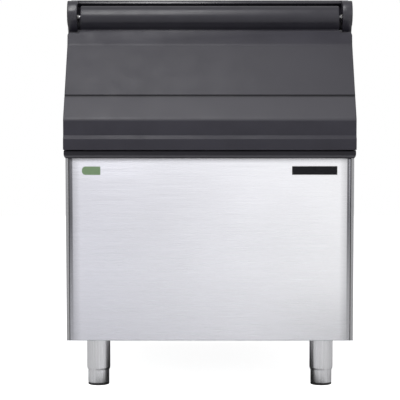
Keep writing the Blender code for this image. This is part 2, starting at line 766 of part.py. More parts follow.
def build_liner():
    """Moulded tub, open at the top for falling ice and at the front behind the door."""
    front = seat_line()[-1][0]
    look = pale_plastic("liner_plastic")
    tub = prism("liner", liner_outline(0), -LINER_OUTER_X, LINER_OUTER_X, "x", look)
    ceiling = SHOULDER_HEIGHT - RAIL_LIP_THICK + RAIL_LIP - GAP - LINER_WALL
    inside_front = LINER_FRONT + LINER_WALL
    inside_back = LINER_BACK - LINER_WALL
    beam_back = front + RAIL_DEPTH + GAP + LINER_WALL
    space = [
        (inside_front, LINER_FLOOR_FRONT, LINER_ROUND),
        (inside_front, LINER_WALL_TOP, 0),
        (-OVERRUN, LINER_WALL_TOP, 0),
        (-OVERRUN, ceiling, 0),
        (beam_back, ceiling, 0),
        (beam_back, DECK_HEIGHT + OVERRUN, 0),
        (inside_back, DECK_HEIGHT + OVERRUN, 0),
        (inside_back, LINER_FLOOR_BACK, LINER_ROUND),
        (LINER_BACK - DRAIN_FLAT, LINER_FLOOR_BACK, 0),
    ]
    inner_x = LINER_INNER_X
    cavity = prism("cavity", rounded(space), -inner_x, inner_x, "x", round_ends=LINER_SIDE_ROUND)
    saddle_top = LINER_WALL_TOP + SILL_SADDLE_RISE + GAP
    saddle_room = box(
        "saddle_room",
        (-LINER_INNER_X, -OVERRUN, LINER_WALL_TOP),
        (LINER_INNER_X, inside_front + LINER_ROUND, saddle_top),
    )
    hole = rod("hole", DRAIN_RADIUS + GAP, -OVERRUN, OVERRUN, DRAIN_STEPS)
    cut(tub, [cavity, saddle_room, stand(hole, 0, DRAIN_DEPTH, LINER_FLOOR_BACK)])


def build_insulation():
    """Foam between the liner and the sheet metal, pocketed for the leg plates and the base lips."""
    seat = seat_line()
    side = HALF_BODY - SHEET - GAP
    front = SHEET + GAP
    low = BASE_HEIGHT + SHEET + GAP
    top = SHOULDER_HEIGHT - RAIL_LIP_THICK - GAP
    rail_back = seat[-1][0] + RAIL_DEPTH + GAP
    outline = [
        (front, low),
        (front, PANEL_TOP),
        (LINER_FRONT, PANEL_TOP),
        *between(inward(seat, FRAME_DEPTH + GAP), SILL_TOP, top),
        (rail_back, top),
        (rail_back, DECK_HEIGHT - GAP),
        (BODY_DEPTH - 2 * SHEET - 2 * GAP, DECK_HEIGHT - GAP),
        (BODY_DEPTH - 2 * SHEET - 2 * GAP, low),
    ]
    look = foam("insulation_foam")
    fill = prism("insulation", outline, -side, side, "x", look)
    pocket_half = LINER_OUTER_X + GAP
    tools = [prism("tub", liner_outline(GAP), -pocket_half, pocket_half, "x")]
    lip_top = BASE_HEIGHT + SHEET + PAN_LIP + GAP
    lip = SHEET + 2 * GAP
    rear = BODY_DEPTH - 2 * SHEET - 2 * GAP
    corner = SIDE_FRONT_FLANGE + FRONT_BEND + 2 * GAP
    for sign in (-1, 1):
        across = sorted((sign * (side - lip), sign * (side + OVERRUN)))
        tools.append(box("lip_slot", (across[0], -OVERRUN, 0), (across[1], BODY_DEPTH + OVERRUN, lip_top)))
        across = sorted((sign * (HALF_BODY - corner), sign * (side + OVERRUN)))
        deep = FRONT_RETURN + GAP
        tools.append(box("corner_slot", (across[0], -OVERRUN, 0), (across[1], deep, DECK_HEIGHT)))
    tools.append(box("lip_slot", (-side, -OVERRUN, 0), (side, front + lip, lip_top)))
    tools.append(box("lip_slot", (-side, rear - lip, 0), (side, BODY_DEPTH + OVERRUN, lip_top)))
    half = PLATE_SIDE / 2 + GAP
    pocket_top = low + PLATE_THICK + STUD_LENGTH
    for across, depth in LEG_PLACES.values():
        low_corner = (across - half, depth - half, 0)
        tools.append(box("pocket", low_corner, (across + half, depth + half, pocket_top)))
    hole = rod("hole", DRAIN_RADIUS + GAP, -OVERRUN, OVERRUN, DRAIN_STEPS)
    tools.append(stand(hole, 0, DRAIN_DEPTH, LINER_FLOOR_BACK - LINER_WALL))
    cut(fill, tools)


def door_profile():
    """Side outline of the closed door slab, with lip, ledge, bend, slope, groove and shoulder."""
    line = door_line()
    back = inward(line, DOOR_THICK)
    lip_top = DOOR_BOTTOM + DOOR_LIP
    ledge_top = lip_top + DOOR_LEDGE_RISE
    groove_height = DOOR_FACE_TOP + DOOR_LOWER_SLOPE
    lean = math.tan(DOOR_SLOPE_LEAN)
    along = unit((lean, 1))

    def on_slope(away, deep):
        """A point on the slope, this far along it from the groove and this deep into it."""
        depth = DOOR_FACE_DEPTH + DOOR_LOWER_SLOPE * lean + along[0] * away + along[1] * deep
        return (depth, groove_height + along[1] * away - along[0] * deep, 0)

    half = GROOVE_WIDTH / 2
    return [
        (back[0][0], DOOR_BOTTOM, 0),
        (-DOOR_PROUD, DOOR_BOTTOM, DOOR_EDGE_ROUND),
        (-DOOR_PROUD, lip_top, DOOR_SMALL_ROUND),
        (DOOR_FACE_DEPTH, ledge_top, DOOR_SMALL_ROUND),
        (DOOR_FACE_DEPTH, DOOR_FACE_TOP, DOOR_FACE_BEND),
        on_slope(-half, 0),
        on_slope(-half / 2, GROOVE_DEPTH),
        on_slope(half / 2, GROOVE_DEPTH),
        on_slope(half, 0),
        (*line[2], DOOR_SLOPE_BEND),
        (*line[3], DOOR_EDGE_ROUND),
        (*back[3], 0),
        (*back[2], 0),
        (*back[1], 0),
    ]


def door_space(wall, back):
    """Side outline of the room inside the door skin, this far in from its face and as deep as back."""
    line = door_line()
    front = inward(line, wall)
    deep = inward(line, back)
    low = DOOR_BOTTOM + wall
    ceiling = inward(line, DOOR_THICK)[-1][1] - DOOR_WALL - wall
    lip_depth = wall - DOOR_PROUD
    lip_top = DOOR_BOTTOM + DOOR_LIP - wall / 2
    return [
        (lip_depth, low),
        (lip_depth, lip_top),
        *between(front, lip_top + DOOR_LEDGE_RISE, ceiling),
        *between(deep, low, ceiling)[::-1],
    ]


def build_door():
    """The lift-up door: moulded skin with its hinge roll, inner pan, foam and end plugs."""
    hinge = bpy.data.objects.new("door_hinge_axis", None)
    hinge.empty_display_size = ROLL_RADIUS
    bpy.context.scene.collection.objects.link(hinge)
    hinge.location = (0, AXIS_DEPTH + FRONT_Y, AXIS_HEIGHT)
    half = HALF_DOOR
    look = dark_plastic("door_plastic")
    skin = prism("door_skin", rounded(door_profile()), -half, half, "x", look, round_ends=DOOR_EDGE_ROUND)
    back = inward(door_line(), DOOR_THICK)
    roll = rod("roll", ROLL_RADIUS, -HALF_ROLL, HALF_ROLL, ROLL_STEPS)
    stand(roll, 0, AXIS_DEPTH, AXIS_HEIGHT, along_x(1))
    foot_front = SHOULDER_DEPTH + NECK_FOOT_INSET
    foot_top = SHOULDER_HEIGHT + NECK_FOOT_RISE
    neck_front = SHOULDER_DEPTH + NECK_BEHIND_SHOULDER
    neck_top = AXIS_HEIGHT - ROLL_RADIUS / 2
    neck = [
        (foot_front, SHOULDER_HEIGHT - DOOR_WALL, 0),
        (foot_front, foot_top, NECK_FOOT_ROUND),
        (neck_front, foot_top, 0),
        (neck_front, neck_top, 0),
        (back[3][0], neck_top, 0),
        (back[3][0], back[3][1] - GAP, 0),
    ]
    join(skin, [roll, prism("neck", rounded(neck), -HALF_ROLL, HALF_ROLL, "x")])
    bore = rod("bore", ROLL_RADIUS - ROLL_WALL, -half, half, ROLL_STEPS)
    stand(bore, 0, AXIS_DEPTH, AXIS_HEIGHT, along_x(1))
    inner = half - DOOR_WALL
    room = prism("room", door_space(DOOR_WALL, DOOR_THICK + DOOR_WALL), -inner, inner, "x")
    cut(skin, [bore, room])

    liner_half = inner - GAP
    outer_face = inward(door_line(), DOOR_THICK)
    inner_face = inward(door_line(), DOOR_THICK - DOOR_LINER_THICK)
    low = DOOR_BOTTOM + DOOR_WALL + GAP
    top = back[3][1] - 2 * DOOR_WALL - GAP
    sheet = between(inner_face, low, top) + between(outer_face, low, top)[::-1]
    pan = prism("door_liner", sheet, -liner_half, liner_half, "x", pale_plastic("door_liner_plastic"))
    field_low = DOOR_FACE_TOP + DOOR_FIELD_START
    field_top = field_low + DOOR_FIELD_LENGTH * math.cos(DOOR_SLOPE_LEAN)
    raised = inward(door_line(), DOOR_THICK + DOOR_FIELD_RISE)
    hollow = inward(door_line(), DOOR_THICK + DOOR_FIELD_RISE - DOOR_LINER_THICK)
    behind = inward(door_line(), DOOR_THICK - DOOR_LINER_THICK - GAP)
    field_half = LINER_INNER_X - DOOR_FIELD_SIDE_INSET
    hollow_half = field_half - DOOR_LINER_THICK
    outer = between(inner_face, field_low, field_top) + between(raised, field_low, field_top)[::-1]
    shrunk = (field_low + DOOR_LINER_THICK, field_top - DOOR_LINER_THICK)
    room = between(behind, *shrunk) + between(hollow, *shrunk)[::-1]
    join(pan, [prism("field", outer, -field_half, field_half, "x")])
    cut(pan, [prism("field_room", room, -hollow_half, hollow_half, "x")])

    fill = prism(
        "door_insulation",
        door_space(DOOR_WALL + GAP, DOOR_THICK - DOOR_LINER_THICK - GAP),
        -liner_half,
        liner_half,
        "x",
        foam("door_foam"),
    )
    pieces = [skin, pan, fill]
    for side, sign in SIDES:
        profile = [
            (PIN_BORE, HALF_ROLL - PLUG_LENGTH),
            (ROLL_RADIUS - ROLL_WALL - GAP, HALF_ROLL - PLUG_LENGTH),
            (ROLL_RADIUS - ROLL_WALL - GAP, HALF_ROLL),
            (PIN_BORE, HALF_ROLL),
        ]
        plug = turned(f"{side}_roll_plug", profile, ROLL_STEPS, dark_plastic(f"{side}_plug_plastic"))
        stand(plug, 0, AXIS_DEPTH, AXIS_HEIGHT, along_x(sign))
        settle(plug)
        pieces.append(plug)
    for piece in pieces:
        piece.data.transform(Matrix.Translation(-hinge.location))
        piece.parent = hinge


def build_hinges():
    """On each side a headed steel pin in a nylon bush, and a plugged dome over the ear's drum."""
    shoulder = EAR_OUTER - CAP_PLUG - PIN_HEAD
    for side, sign in SIDES:
        pin = [
            (0, HALF_ROLL - PLUG_LENGTH),
            (PIN_RADIUS, HALF_ROLL - PLUG_LENGTH),
            (PIN_RADIUS, shoulder + GAP),
            (PIN_HEAD_RADIUS, shoulder + GAP),
            (PIN_HEAD_RADIUS, shoulder + PIN_HEAD),
            (0, shoulder + PIN_HEAD),
        ]
        bush_inner = PIN_RADIUS + GAP
        bush = [
            (bush_inner, EAR_INNER - GAP - BUSH_COLLAR),
            (BUSH_COLLAR_RADIUS, EAR_INNER - GAP - BUSH_COLLAR),
            (BUSH_COLLAR_RADIUS, EAR_INNER - GAP),
            (BUSH_RADIUS, EAR_INNER - GAP),
            (BUSH_RADIUS, shoulder),
            (bush_inner, shoulder),
        ]
        edge = EAR_RADIUS - GAP
        plug_end = EAR_OUTER - CAP_PLUG + GAP
        sphere = (edge**2 + CAP_BULGE**2) / (2 * CAP_BULGE)
        sweep = math.asin(edge / sphere)
        dome = []
        for step in range(CAP_RINGS):
            angle = sweep * (1 - step / CAP_RINGS)
            rise = sphere * (math.cos(angle) - math.cos(sweep))
            dome.append((sphere * math.sin(angle), EAR_OUTER + GAP + rise))
        cover = [(0, EAR_OUTER + GAP), *dome, (0, EAR_OUTER + GAP + CAP_BULGE)]
        plug = rod("plug", CAP_PLUG_RADIUS, plug_end, EAR_OUTER + 2 * GAP, CAP_STEPS)
        made = (
            turned(f"{side}_hinge_pin", pin, HINGE_STEPS, brushed_steel(f"{side}_pin_steel")),
            turned(f"{side}_bushing", bush, HINGE_STEPS, pale_plastic(f"{side}_bush_nylon")),
            plug,
        )
        for piece in made:
            stand(piece, 0, AXIS_DEPTH, AXIS_HEIGHT, along_x(sign))
        cap = turned(f"{side}_pin_cap", cover, CAP_STEPS, dark_plastic(f"{side}_cap_plastic"))
        stand(cap, 0, AXIS_DEPTH, AXIS_HEIGHT + EAR_ABOVE_AXIS, along_x(sign))
        join(cap, [plug])


def build_baffle():
    """Folded sheet hung under the top rail, which keeps falling ice off the door."""
    ceiling = SHOULDER_HEIGHT - RAIL_LIP_THICK + RAIL_LIP - GAP - LINER_WALL - GAP
    start = seat_line()[-1][0] + BAFFLE_SET_BACK
    bend = start + BAFFLE_FLANGE
    drop = ceiling - BAFFLE_DROP
    sheet = BAFFLE_THICK
    outline = [
        (start, ceiling, 0),
        (bend, ceiling, BAFFLE_BEND),
        (bend + BAFFLE_LEAN, drop, BAFFLE_BEND),
        (bend + BAFFLE_LEAN + BAFFLE_KICK, drop - BAFFLE_KICK, 0),
        (bend + BAFFLE_LEAN + BAFFLE_KICK - sheet, drop - BAFFLE_KICK - sheet, 0),
        (bend + BAFFLE_LEAN - sheet, drop - sheet / 2, BAFFLE_BEND - sheet),
        (bend - sheet, ceiling - sheet, BAFFLE_BEND - sheet),
        (start, ceiling - sheet, 0),
    ]
    half = LINER_INNER_X - BAFFLE_SIDE_GAP
    prism("ice_baffle", rounded(outline), -half, half, "x", pale_plastic("baffle_plastic"))
    for side, sign in SIDES:
        look = brushed_steel(f"{side}_baffle_screw_steel")
        screw = rod(f"{side}_baffle_screw", SCREW_RADIUS, -SCREW_HEAD, 0, SCREW_STEPS, look)
        across = sign * (half - BAFFLE_SCREW_INSET)
        stand(screw, across, start + BAFFLE_FLANGE / 2, ceiling - sheet - GAP)


def build_drain():
    """Threaded outlet through the floor at the back, with a seal inside and a nut below."""
    floor = LINER_FLOOR_BACK + GAP
    seal_top = floor + DRAIN_SEAL
    flange = seal_top + GAP
    bottom = BASE_HEIGHT - DRAIN_BELOW_BASE
    outlet = [
        (DRAIN_BORE, bottom),
        (DRAIN_RADIUS, bottom),
        (DRAIN_RADIUS, flange),
        (DRAIN_FLANGE_RADIUS, flange),
        (DRAIN_FLANGE_RADIUS, flange + DRAIN_FLANGE - DRAIN_FLANGE_CHAMFER),
        (DRAIN_FLANGE_RADIUS - DRAIN_FLANGE_CHAMFER, flange + DRAIN_FLANGE),
        (DRAIN_BORE, flange + DRAIN_FLANGE),
    ]
    bore = DRAIN_RADIUS + GAP
    edge = DRAIN_FLANGE_RADIUS
    seal = [(bore, floor), (edge, floor), (edge, seal_top), (bore, seal_top)]
    look = pale_plastic("drain_plastic")
    stand(turned("drain_outlet", outlet, DRAIN_STEPS, look), 0, DRAIN_DEPTH, 0)
    look = black_rubber("drain_seal_rubber")
    stand(turned("drain_seal", seal, DRAIN_STEPS, look), 0, DRAIN_DEPTH, 0)
    look = pale_plastic("drain_nut_plastic")
    nut = rod("drain_nut", DRAIN_NUT_RADIUS, -NUT_HEIGHT - GAP, -GAP, NUT_SIDES, look)
    hole = rod("hole", bore, -OVERRUN, OVERRUN, DRAIN_STEPS)
    for piece in (nut, hole):
        stand(piece, 0, DRAIN_DEPTH, BASE_HEIGHT)
    cut(nut, [hole])


def build_legs():
    """Four legs: a tube with a stud through the base, a sliding foot inside it and a pad."""
    crown = BASE_HEIGHT - GAP
    tube_end = LEG_FOOT_SHOWN
    bore = LEG_RADIUS - LEG_WALL
    stud_top = BASE_HEIGHT + SHEET + PLATE_THICK + STUD_LENGTH - GAP
    tube = [
        (0, crown - LEG_CROWN),
        (bore, crown - LEG_CROWN),
        (bore, tube_end),
        (LEG_RADIUS - LEG_CHAMFER, tube_end),
        (LEG_RADIUS, tube_end + LEG_CHAMFER_RISE),
        (LEG_RADIUS, crown),
        (STUD_RADIUS, crown),
        (STUD_RADIUS, stud_top),
        (0, stud_top),
    ]
    foot_low = PAD_HEIGHT + GAP
    foot_top = tube_end + FOOT_INSIDE
    wall = FOOT_RADIUS - FOOT_WALL
    foot = [
        (0, foot_low),
        (FOOT_RADIUS - FOOT_CHAMFER, foot_low),
        (FOOT_RADIUS, foot_low + FOOT_CHAMFER),
        (FOOT_RADIUS, foot_top),
        (wall, foot_top),
        (wall, foot_low + FOOT_WALL),
        (0, foot_low + FOOT_WALL),
    ]
    plate_low = BASE_HEIGHT + SHEET + GAP
    plate_top = plate_low + PLATE_THICK
    half = PLATE_SIDE / 2
    for place, (across, depth) in LEG_PLACES.items():
        look = brushed_steel(f"{place}_leg_steel")
        stand(turned(f"{place}_leg", tube, LEG_STEPS, look), across, depth, 0)
        look = brushed_steel(f"{place}_foot_steel")
        stand(turned(f"{place}_foot", foot, LEG_STEPS, look), across, depth, 0)
        look = black_rubber(f"{place}_rubber")
        pad = rod(f"{place}_pad", FOOT_RADIUS, 0, PAD_HEIGHT, LEG_STEPS, look)
        stand(pad, across, depth, 0)
        low_corner = (across - half, depth - half, plate_low)
        high_corner = (across + half, depth + half, plate_top)
        look = galvanised(f"{place}_plate_steel")
        plate = box(f"{place}_plate", low_corner, high_corner, look)
        nut = rod("weld_nut", LEG_NUT_RADIUS, 0, PLATE_THICK + NUT_HEIGHT, NUT_SIDES)
        join(plate, [stand(nut, across, depth, plate_low)])
        hole = rod("hole", STUD_RADIUS + GAP, -OVERRUN, OVERRUN, HINGE_STEPS)
        cut(plate, [stand(hole, across, depth, plate_low)])


def build_fasteners():
    """Screw heads on the back panel and the side frames, and the door's rubber bumpers."""
    span = DECK_HEIGHT - BASE_HEIGHT - 2 * BACK_SCREW_END_INSET
    backward = Matrix.Rotation(-math.pi / 2, 4, "X")
    for side, sign in SIDES:
        across = sign * (HALF_BODY - SIDE_REAR_FLANGE / 2)
        for row in range(BACK_SCREW_ROWS):
            height = BASE_HEIGHT + BACK_SCREW_END_INSET + span * row / (BACK_SCREW_ROWS - 1)
            name = f"{side}_back_screw_{row + 1}"
            head = rod(name, SCREW_RADIUS, 0, SCREW_HEAD, SCREW_STEPS, galvanised(f"{name}_steel"))
            stand(head, across, BODY_DEPTH + GAP, height, backward)

    seat = seat_line()
    foot, head_end = Vector(seat[1]), Vector(seat[2])
    tilt = Matrix.Rotation(math.pi / 2 - DOOR_SLOPE_LEAN, 4, "X")

    def on_frame(piece, sign, share, inset):
        place = foot.lerp(head_end, share)
        return stand(piece, sign * (FRAME_INNER + inset), place.x, place.y, tilt)

    for side, sign in SIDES:
        for end, share in FRAME_SCREW_SHARES.items():
            name = f"{side}_{end}_frame_screw"
            look = brushed_steel(f"{name}_steel")
            head = rod(name, SCREW_RADIUS, GAP, DOOR_SEAT_GAP - 2 * GAP, SCREW_STEPS, look)
            on_frame(head, sign, share, FRAME_SCREW_INSET)
        for end, share in BUMPER_SHARES.items():
            name = f"{side}_{end}_bumper"
            look = black_rubber(f"{name}_rubber")
            bumper = rod(name, BUMPER_RADIUS, GAP, DOOR_SEAT_GAP - GAP, HINGE_STEPS, look)
            on_frame(bumper, sign, share, BUMPER_INSET)


clear_scene()
build_front_panel()
build_side_panels()
build_back_panel()
build_base_pan()
build_sill_trim()
build_side_frames()
build_top_rail()
build_top_rim()
build_liner()
build_insulation()
build_door()
build_hinges()
build_baffle()
build_drain()
build_legs()
build_fasteners()
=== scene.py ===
"""Ice storage bin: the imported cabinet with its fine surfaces, finishes and studio.

Units are metres, +Z is up and the door faces -Y. The sections follow the bin as it is put together.
"""

import json

import bmesh
import bpy
import numpy as np
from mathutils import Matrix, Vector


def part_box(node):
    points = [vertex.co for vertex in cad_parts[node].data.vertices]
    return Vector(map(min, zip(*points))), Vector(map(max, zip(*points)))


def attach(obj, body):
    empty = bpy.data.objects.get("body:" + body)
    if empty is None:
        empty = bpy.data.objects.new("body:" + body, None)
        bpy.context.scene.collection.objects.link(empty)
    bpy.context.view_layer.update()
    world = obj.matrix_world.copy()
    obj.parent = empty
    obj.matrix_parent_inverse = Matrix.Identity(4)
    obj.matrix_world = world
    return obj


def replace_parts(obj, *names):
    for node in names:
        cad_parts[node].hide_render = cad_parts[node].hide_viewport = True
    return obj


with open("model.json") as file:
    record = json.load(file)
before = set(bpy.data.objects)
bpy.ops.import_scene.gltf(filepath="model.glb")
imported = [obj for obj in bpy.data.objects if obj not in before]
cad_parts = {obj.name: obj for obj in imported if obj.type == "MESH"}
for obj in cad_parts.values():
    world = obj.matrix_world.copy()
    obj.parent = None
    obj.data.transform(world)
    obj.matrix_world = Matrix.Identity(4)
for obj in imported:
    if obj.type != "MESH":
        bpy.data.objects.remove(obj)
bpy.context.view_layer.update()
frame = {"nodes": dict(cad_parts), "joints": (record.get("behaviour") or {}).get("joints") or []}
nodes = frame["nodes"]

# Base pan, back sheet and leg plates: galvanised steel with a frosted crystal pattern. The pan and
# the back are folded sheets, held by screws, and each leg plate carries a welded nut.

GALVANISED_DARK = (0.36, 0.38, 0.40)
GALVANISED_PALE = (0.60, 0.62, 0.64)
GALVANISED_ROUGH = 0.42
SPANGLE_ROUGH = (0.34, 0.52)
SPANGLES_PER_METRE = 95
SPANGLE_RELIEF = 0.00006
SPANGLE_SHARE, FILM_SHARE = 0.75, 0.25
FILM_CLOUDS = 7.0
CELL_RANGE = (0.1, 0.9)


def finish(name, colour, roughness, metallic=0.0):
    """A Principled material with plain values on its own sockets: material, node tree, shader."""
    made = bpy.data.materials.new(name)
    made.use_nodes = True
    shader = made.node_tree.nodes["Principled BSDF"]
    shader.inputs["Base Color"].default_value = (*colour, 1)
    shader.inputs["Roughness"].default_value = roughness
    shader.inputs["Metallic"].default_value = metallic
    return made, made.node_tree, shader


def place_of(tree, stretch):
    """Object coordinates multiplied along each axis, so that a pattern follows the piece."""
    source = tree.nodes.new("ShaderNodeTexCoord")
    scaled = tree.nodes.new("ShaderNodeMapping")
    scaled.inputs["Scale"].default_value = stretch
    tree.links.new(source.outputs["Object"], scaled.inputs["Vector"])
    return scaled.outputs["Vector"]


def noise(tree, scale, detail=3.0, stretch=(1, 1, 1)):
    """A cloudy value from 0 to 1, with this many clouds in a metre."""
    made = tree.nodes.new("ShaderNodeTexNoise")
    made.inputs["Scale"].default_value = scale
    made.inputs["Detail"].default_value = detail
    tree.links.new(place_of(tree, stretch), made.inputs["Vector"])
    return made.outputs["Fac"]


def cells(tree, scale, output="Color"):
    """Cells of a cracked pattern: a colour for each one, or the distance from its middle."""
    made = tree.nodes.new("ShaderNodeTexVoronoi")
    made.inputs["Scale"].default_value = scale
    tree.links.new(place_of(tree, (1, 1, 1)), made.inputs["Vector"])
    return made.outputs[output]


def carry(tree, value, low, high, start=0.3, end=0.7):
    """Carries a value from start..end over to low..high, and holds it at both ends."""
    made = tree.nodes.new("ShaderNodeMapRange")
    ends = {"From Min": start, "From Max": end, "To Min": low, "To Max": high}
    for socket, number in ends.items():
        made.inputs[socket].default_value = number
    tree.links.new(value, made.inputs["Value"])
    return made.outputs["Result"]


def tint(tree, share, first, second):
    """Mixes two colours, written or linked, by a share from 0 to 1."""
    made = tree.nodes.new("ShaderNodeMix")
    made.data_type = "RGBA"
    sockets = {socket.identifier: socket for socket in made.inputs}
    tree.links.new(share, sockets["Factor_Float"])
    for socket, colour in ((sockets["A_Color"], first), (sockets["B_Color"], second)):
        if isinstance(colour, tuple):
            socket.default_value = (*colour, 1)
        else:
            tree.links.new(colour, socket)
    return next(socket for socket in made.outputs if socket.identifier == "Result_Color")


def maths(tree, operation, first, second=None):
    """One sum on one or two values, the second of them written or linked."""
    made = tree.nodes.new("ShaderNodeMath")
    made.operation = operation
    tree.links.new(first, made.inputs[0])
    if isinstance(second, float):
        made.inputs[1].default_value = second
    elif second is not None:
        tree.links.new(second, made.inputs[1])
    return made.outputs["Value"]


def relief(tree, shader, height, depth, strength):
    """Raises the surface by a value times a depth in metres, in its shading."""
    made = tree.nodes.new("ShaderNodeBump")
    made.inputs["Distance"].default_value = depth
    made.inputs["Strength"].default_value = strength
    tree.links.new(height, made.inputs["Height"])
    tree.links.new(made.outputs["Normal"], shader.inputs["Normal"])


def galvanised(name):
    """Zinc crystals: each cell has its own grey and gloss, under a thin cloudy film."""
    made, tree, shader = finish(name, GALVANISED_PALE, GALVANISED_ROUGH, 1.0)
    crystal = cells(tree, SPANGLES_PER_METRE)
    blend = maths(tree, "ADD", carry(tree, crystal, 0.0, SPANGLE_SHARE, *CELL_RANGE),
                  carry(tree, noise(tree, FILM_CLOUDS), 0.0, FILM_SHARE))
    tree.links.new(tint(tree, blend, GALVANISED_DARK, GALVANISED_PALE), shader.inputs["Base Color"])
    tree.links.new(carry(tree, crystal, *SPANGLE_ROUGH, *CELL_RANGE), shader.inputs["Roughness"])
    relief(tree, shader, cells(tree, SPANGLES_PER_METRE, "Distance"), SPANGLE_RELIEF, 0.5)
    return made


def dress(names, made):
    """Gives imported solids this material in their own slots."""
    for name in names:
        mesh = nodes[name].data
        if not mesh.materials:
            mesh.materials.append(made)
        for index in range(len(mesh.materials)):
            mesh.materials[index] = made


feet = ["front_left", "front_right", "rear_left", "rear_right"]
sheet_zinc = galvanised("galvanised_sheet")
back_screws = [name for name in nodes if "back_screw" in name]
dress(["base_pan", "back_panel", *back_screws, *[f"{foot}_plate" for foot in feet]], sheet_zinc)


# Legs: drawn stainless tubes with a tapered end, and feet of a smaller tube that screw out of
# them. Each foot stands on a black rubber pad. All are turned shapes about the leg's own axis.

TUBE_RADIUS, TUBE_WALL, TUBE_CROWN = 0.03125, 0.0024, 0.014
TUBE_TAPER, TUBE_TAPER_RISE, TUBE_TAPER_ROUND = 0.0012, 0.0050, 0.004
TUBE_END_ROUND = 0.0008
FOOT_RADIUS, FOOT_WALL, FOOT_ROUND, FOOT_BORE_ROUND = 0.02835, 0.003, 0.0020, 0.0010
PAD_RADIUS, PAD_ROUND = 0.02835, 0.0012
THIN_ROUND = 0.0006
CLEARANCE = 0.0003
TURNED_STEPS = 72
CREASE = 32.0
MERGED_WITHIN = 0.00001
STEEL_PALE, STEEL_DARK, STEEL_ROUGH = (0.78, 0.78, 0.81), (0.69, 0.69, 0.71), 0.27
TUBE_PALE, TUBE_DARK = (0.80, 0.80, 0.825), (0.38, 0.38, 0.39)
SCRATCHES, STREAKS = (2.0, 6.0, 1900.0), (3.0, 1.6, 210.0)
SCRATCH_SHARE, STREAK_SHARE, CLOUD_SHARE = 0.26, 0.24, 0.50
STEEL_CLOUDS = 2.3
STEEL_RELIEF = 0.00002
RUBBER_BLACK, RUBBER_ROUGH = (0.012, 0.012, 0.013), 0.62
RUBBER_CLEAN, RUBBER_DUSTY = (0.010, 0.010, 0.011), (0.022, 0.021, 0.021)
RUBBER_DUST, RUBBER_PITS, RUBBER_RELIEF = 60.0, 1500.0, 0.00008


def placed(name, data):
    """A new object in the scene with this mesh, lamp or camera."""
    obj = bpy.data.objects.new(name, data)
    bpy.context.scene.collection.objects.link(obj)
    return obj


def smoothed(name, mesh, made, crease):
    """A piece with this mesh and material, shaded smooth between its creases."""
    mesh.shade_smooth()
    mesh.set_sharp_from_angle(angle=np.radians(crease))
    mesh.materials.append(made)
    return placed(name, mesh)


def smooth_piece(name, points, faces, made, crease=CREASE):
    """A smoothed piece of points and faces, with what coincides merged."""
    mesh = bpy.data.meshes.new(name)
    mesh.from_pydata(np.reshape(points, (-1, 3)).tolist(), [], faces)
    shape = bmesh.new()
    shape.from_mesh(mesh)
    bmesh.ops.remove_doubles(shape, verts=shape.verts, dist=MERGED_WITHIN)
    bmesh.ops.dissolve_degenerate(shape, edges=shape.edges, dist=MERGED_WITHIN)
    bmesh.ops.recalc_face_normals(shape, faces=shape.faces)
    shape.to_mesh(mesh)
    shape.free()
    return smoothed(name, mesh, made, crease)


def grid_faces(rows, columns, wrap_rows=False, wrap_columns=False):
    """Four-sided faces between neighbours of a grid; a wrapped side joins its end to its start."""
    row = np.arange(rows if wrap_rows else rows - 1)[:, None]
    column = np.arange(columns if wrap_columns else columns - 1)[None, :]
    below, after = (row + 1) % rows, (column + 1) % columns
    corners = (row * columns + column, row * columns + after,
               below * columns + after, below * columns + column)
    return np.stack(np.broadcast_arrays(*corners), axis=-1).reshape(-1, 4).tolist()


def rounded_line(corners, closed=False, arc_steps=6):
    """Straight runs between corners (a, b, radius); each radius is an arc touching both runs."""
    corners = np.array(corners, float)
    if closed:
        corners = np.concatenate([corners[-1:], corners, corners[:1]])
    line = [] if closed else [corners[:1, :2]]
    for before, corner, after in zip(corners, corners[1:], corners[2:]):
        spot, radius = corner[:2], corner[2]
        if radius == 0:
            line.append(spot[None])
            continue
        back = (before[:2] - spot) / np.linalg.norm(before[:2] - spot)
        ahead = (after[:2] - spot) / np.linalg.norm(after[:2] - spot)
        half = np.arccos(np.clip(back @ ahead, -1, 1)) / 2
        middle = spot + (back + ahead) / np.linalg.norm(back + ahead) * radius / np.sin(half)
        start = spot + back * radius / np.tan(half) - middle
        turn = np.sign(back[1] * ahead[0] - back[0] * ahead[1]) * (np.pi - 2 * half)
        angle = turn * np.linspace(0, 1, arc_steps + 1)[:, None]
        spoke = np.concatenate([start[0] * np.cos(angle) - start[1] * np.sin(angle),
                                start[0] * np.sin(angle) + start[1] * np.cos(angle)], axis=1)
        line.append(middle + spoke)
    if not closed:
        line.append(corners[-1:, :2])
    return np.concatenate(line)


def turned(name, profile, centre, axis, made, steps=TURNED_STEPS, crease=CREASE):
    """Turns a closed profile (radius, along) about x or z: centre + radius x circle + along."""
    angle = np.linspace(0, 2 * np.pi, steps, endpoint=False)[None, :]
    radius, along = profile[:, :1], profile[:, 1:]
    first, second = radius * np.cos(angle), radius * np.sin(angle)
    along = np.broadcast_to(along, first.shape)
    points = np.stack({"x": (along, first, second), "z": (first, second, along)}[axis], axis=-1)
    faces = grid_faces(len(profile), steps, wrap_rows=True, wrap_columns=True)
    return smooth_piece(name, points + np.array(centre), faces, made, crease)


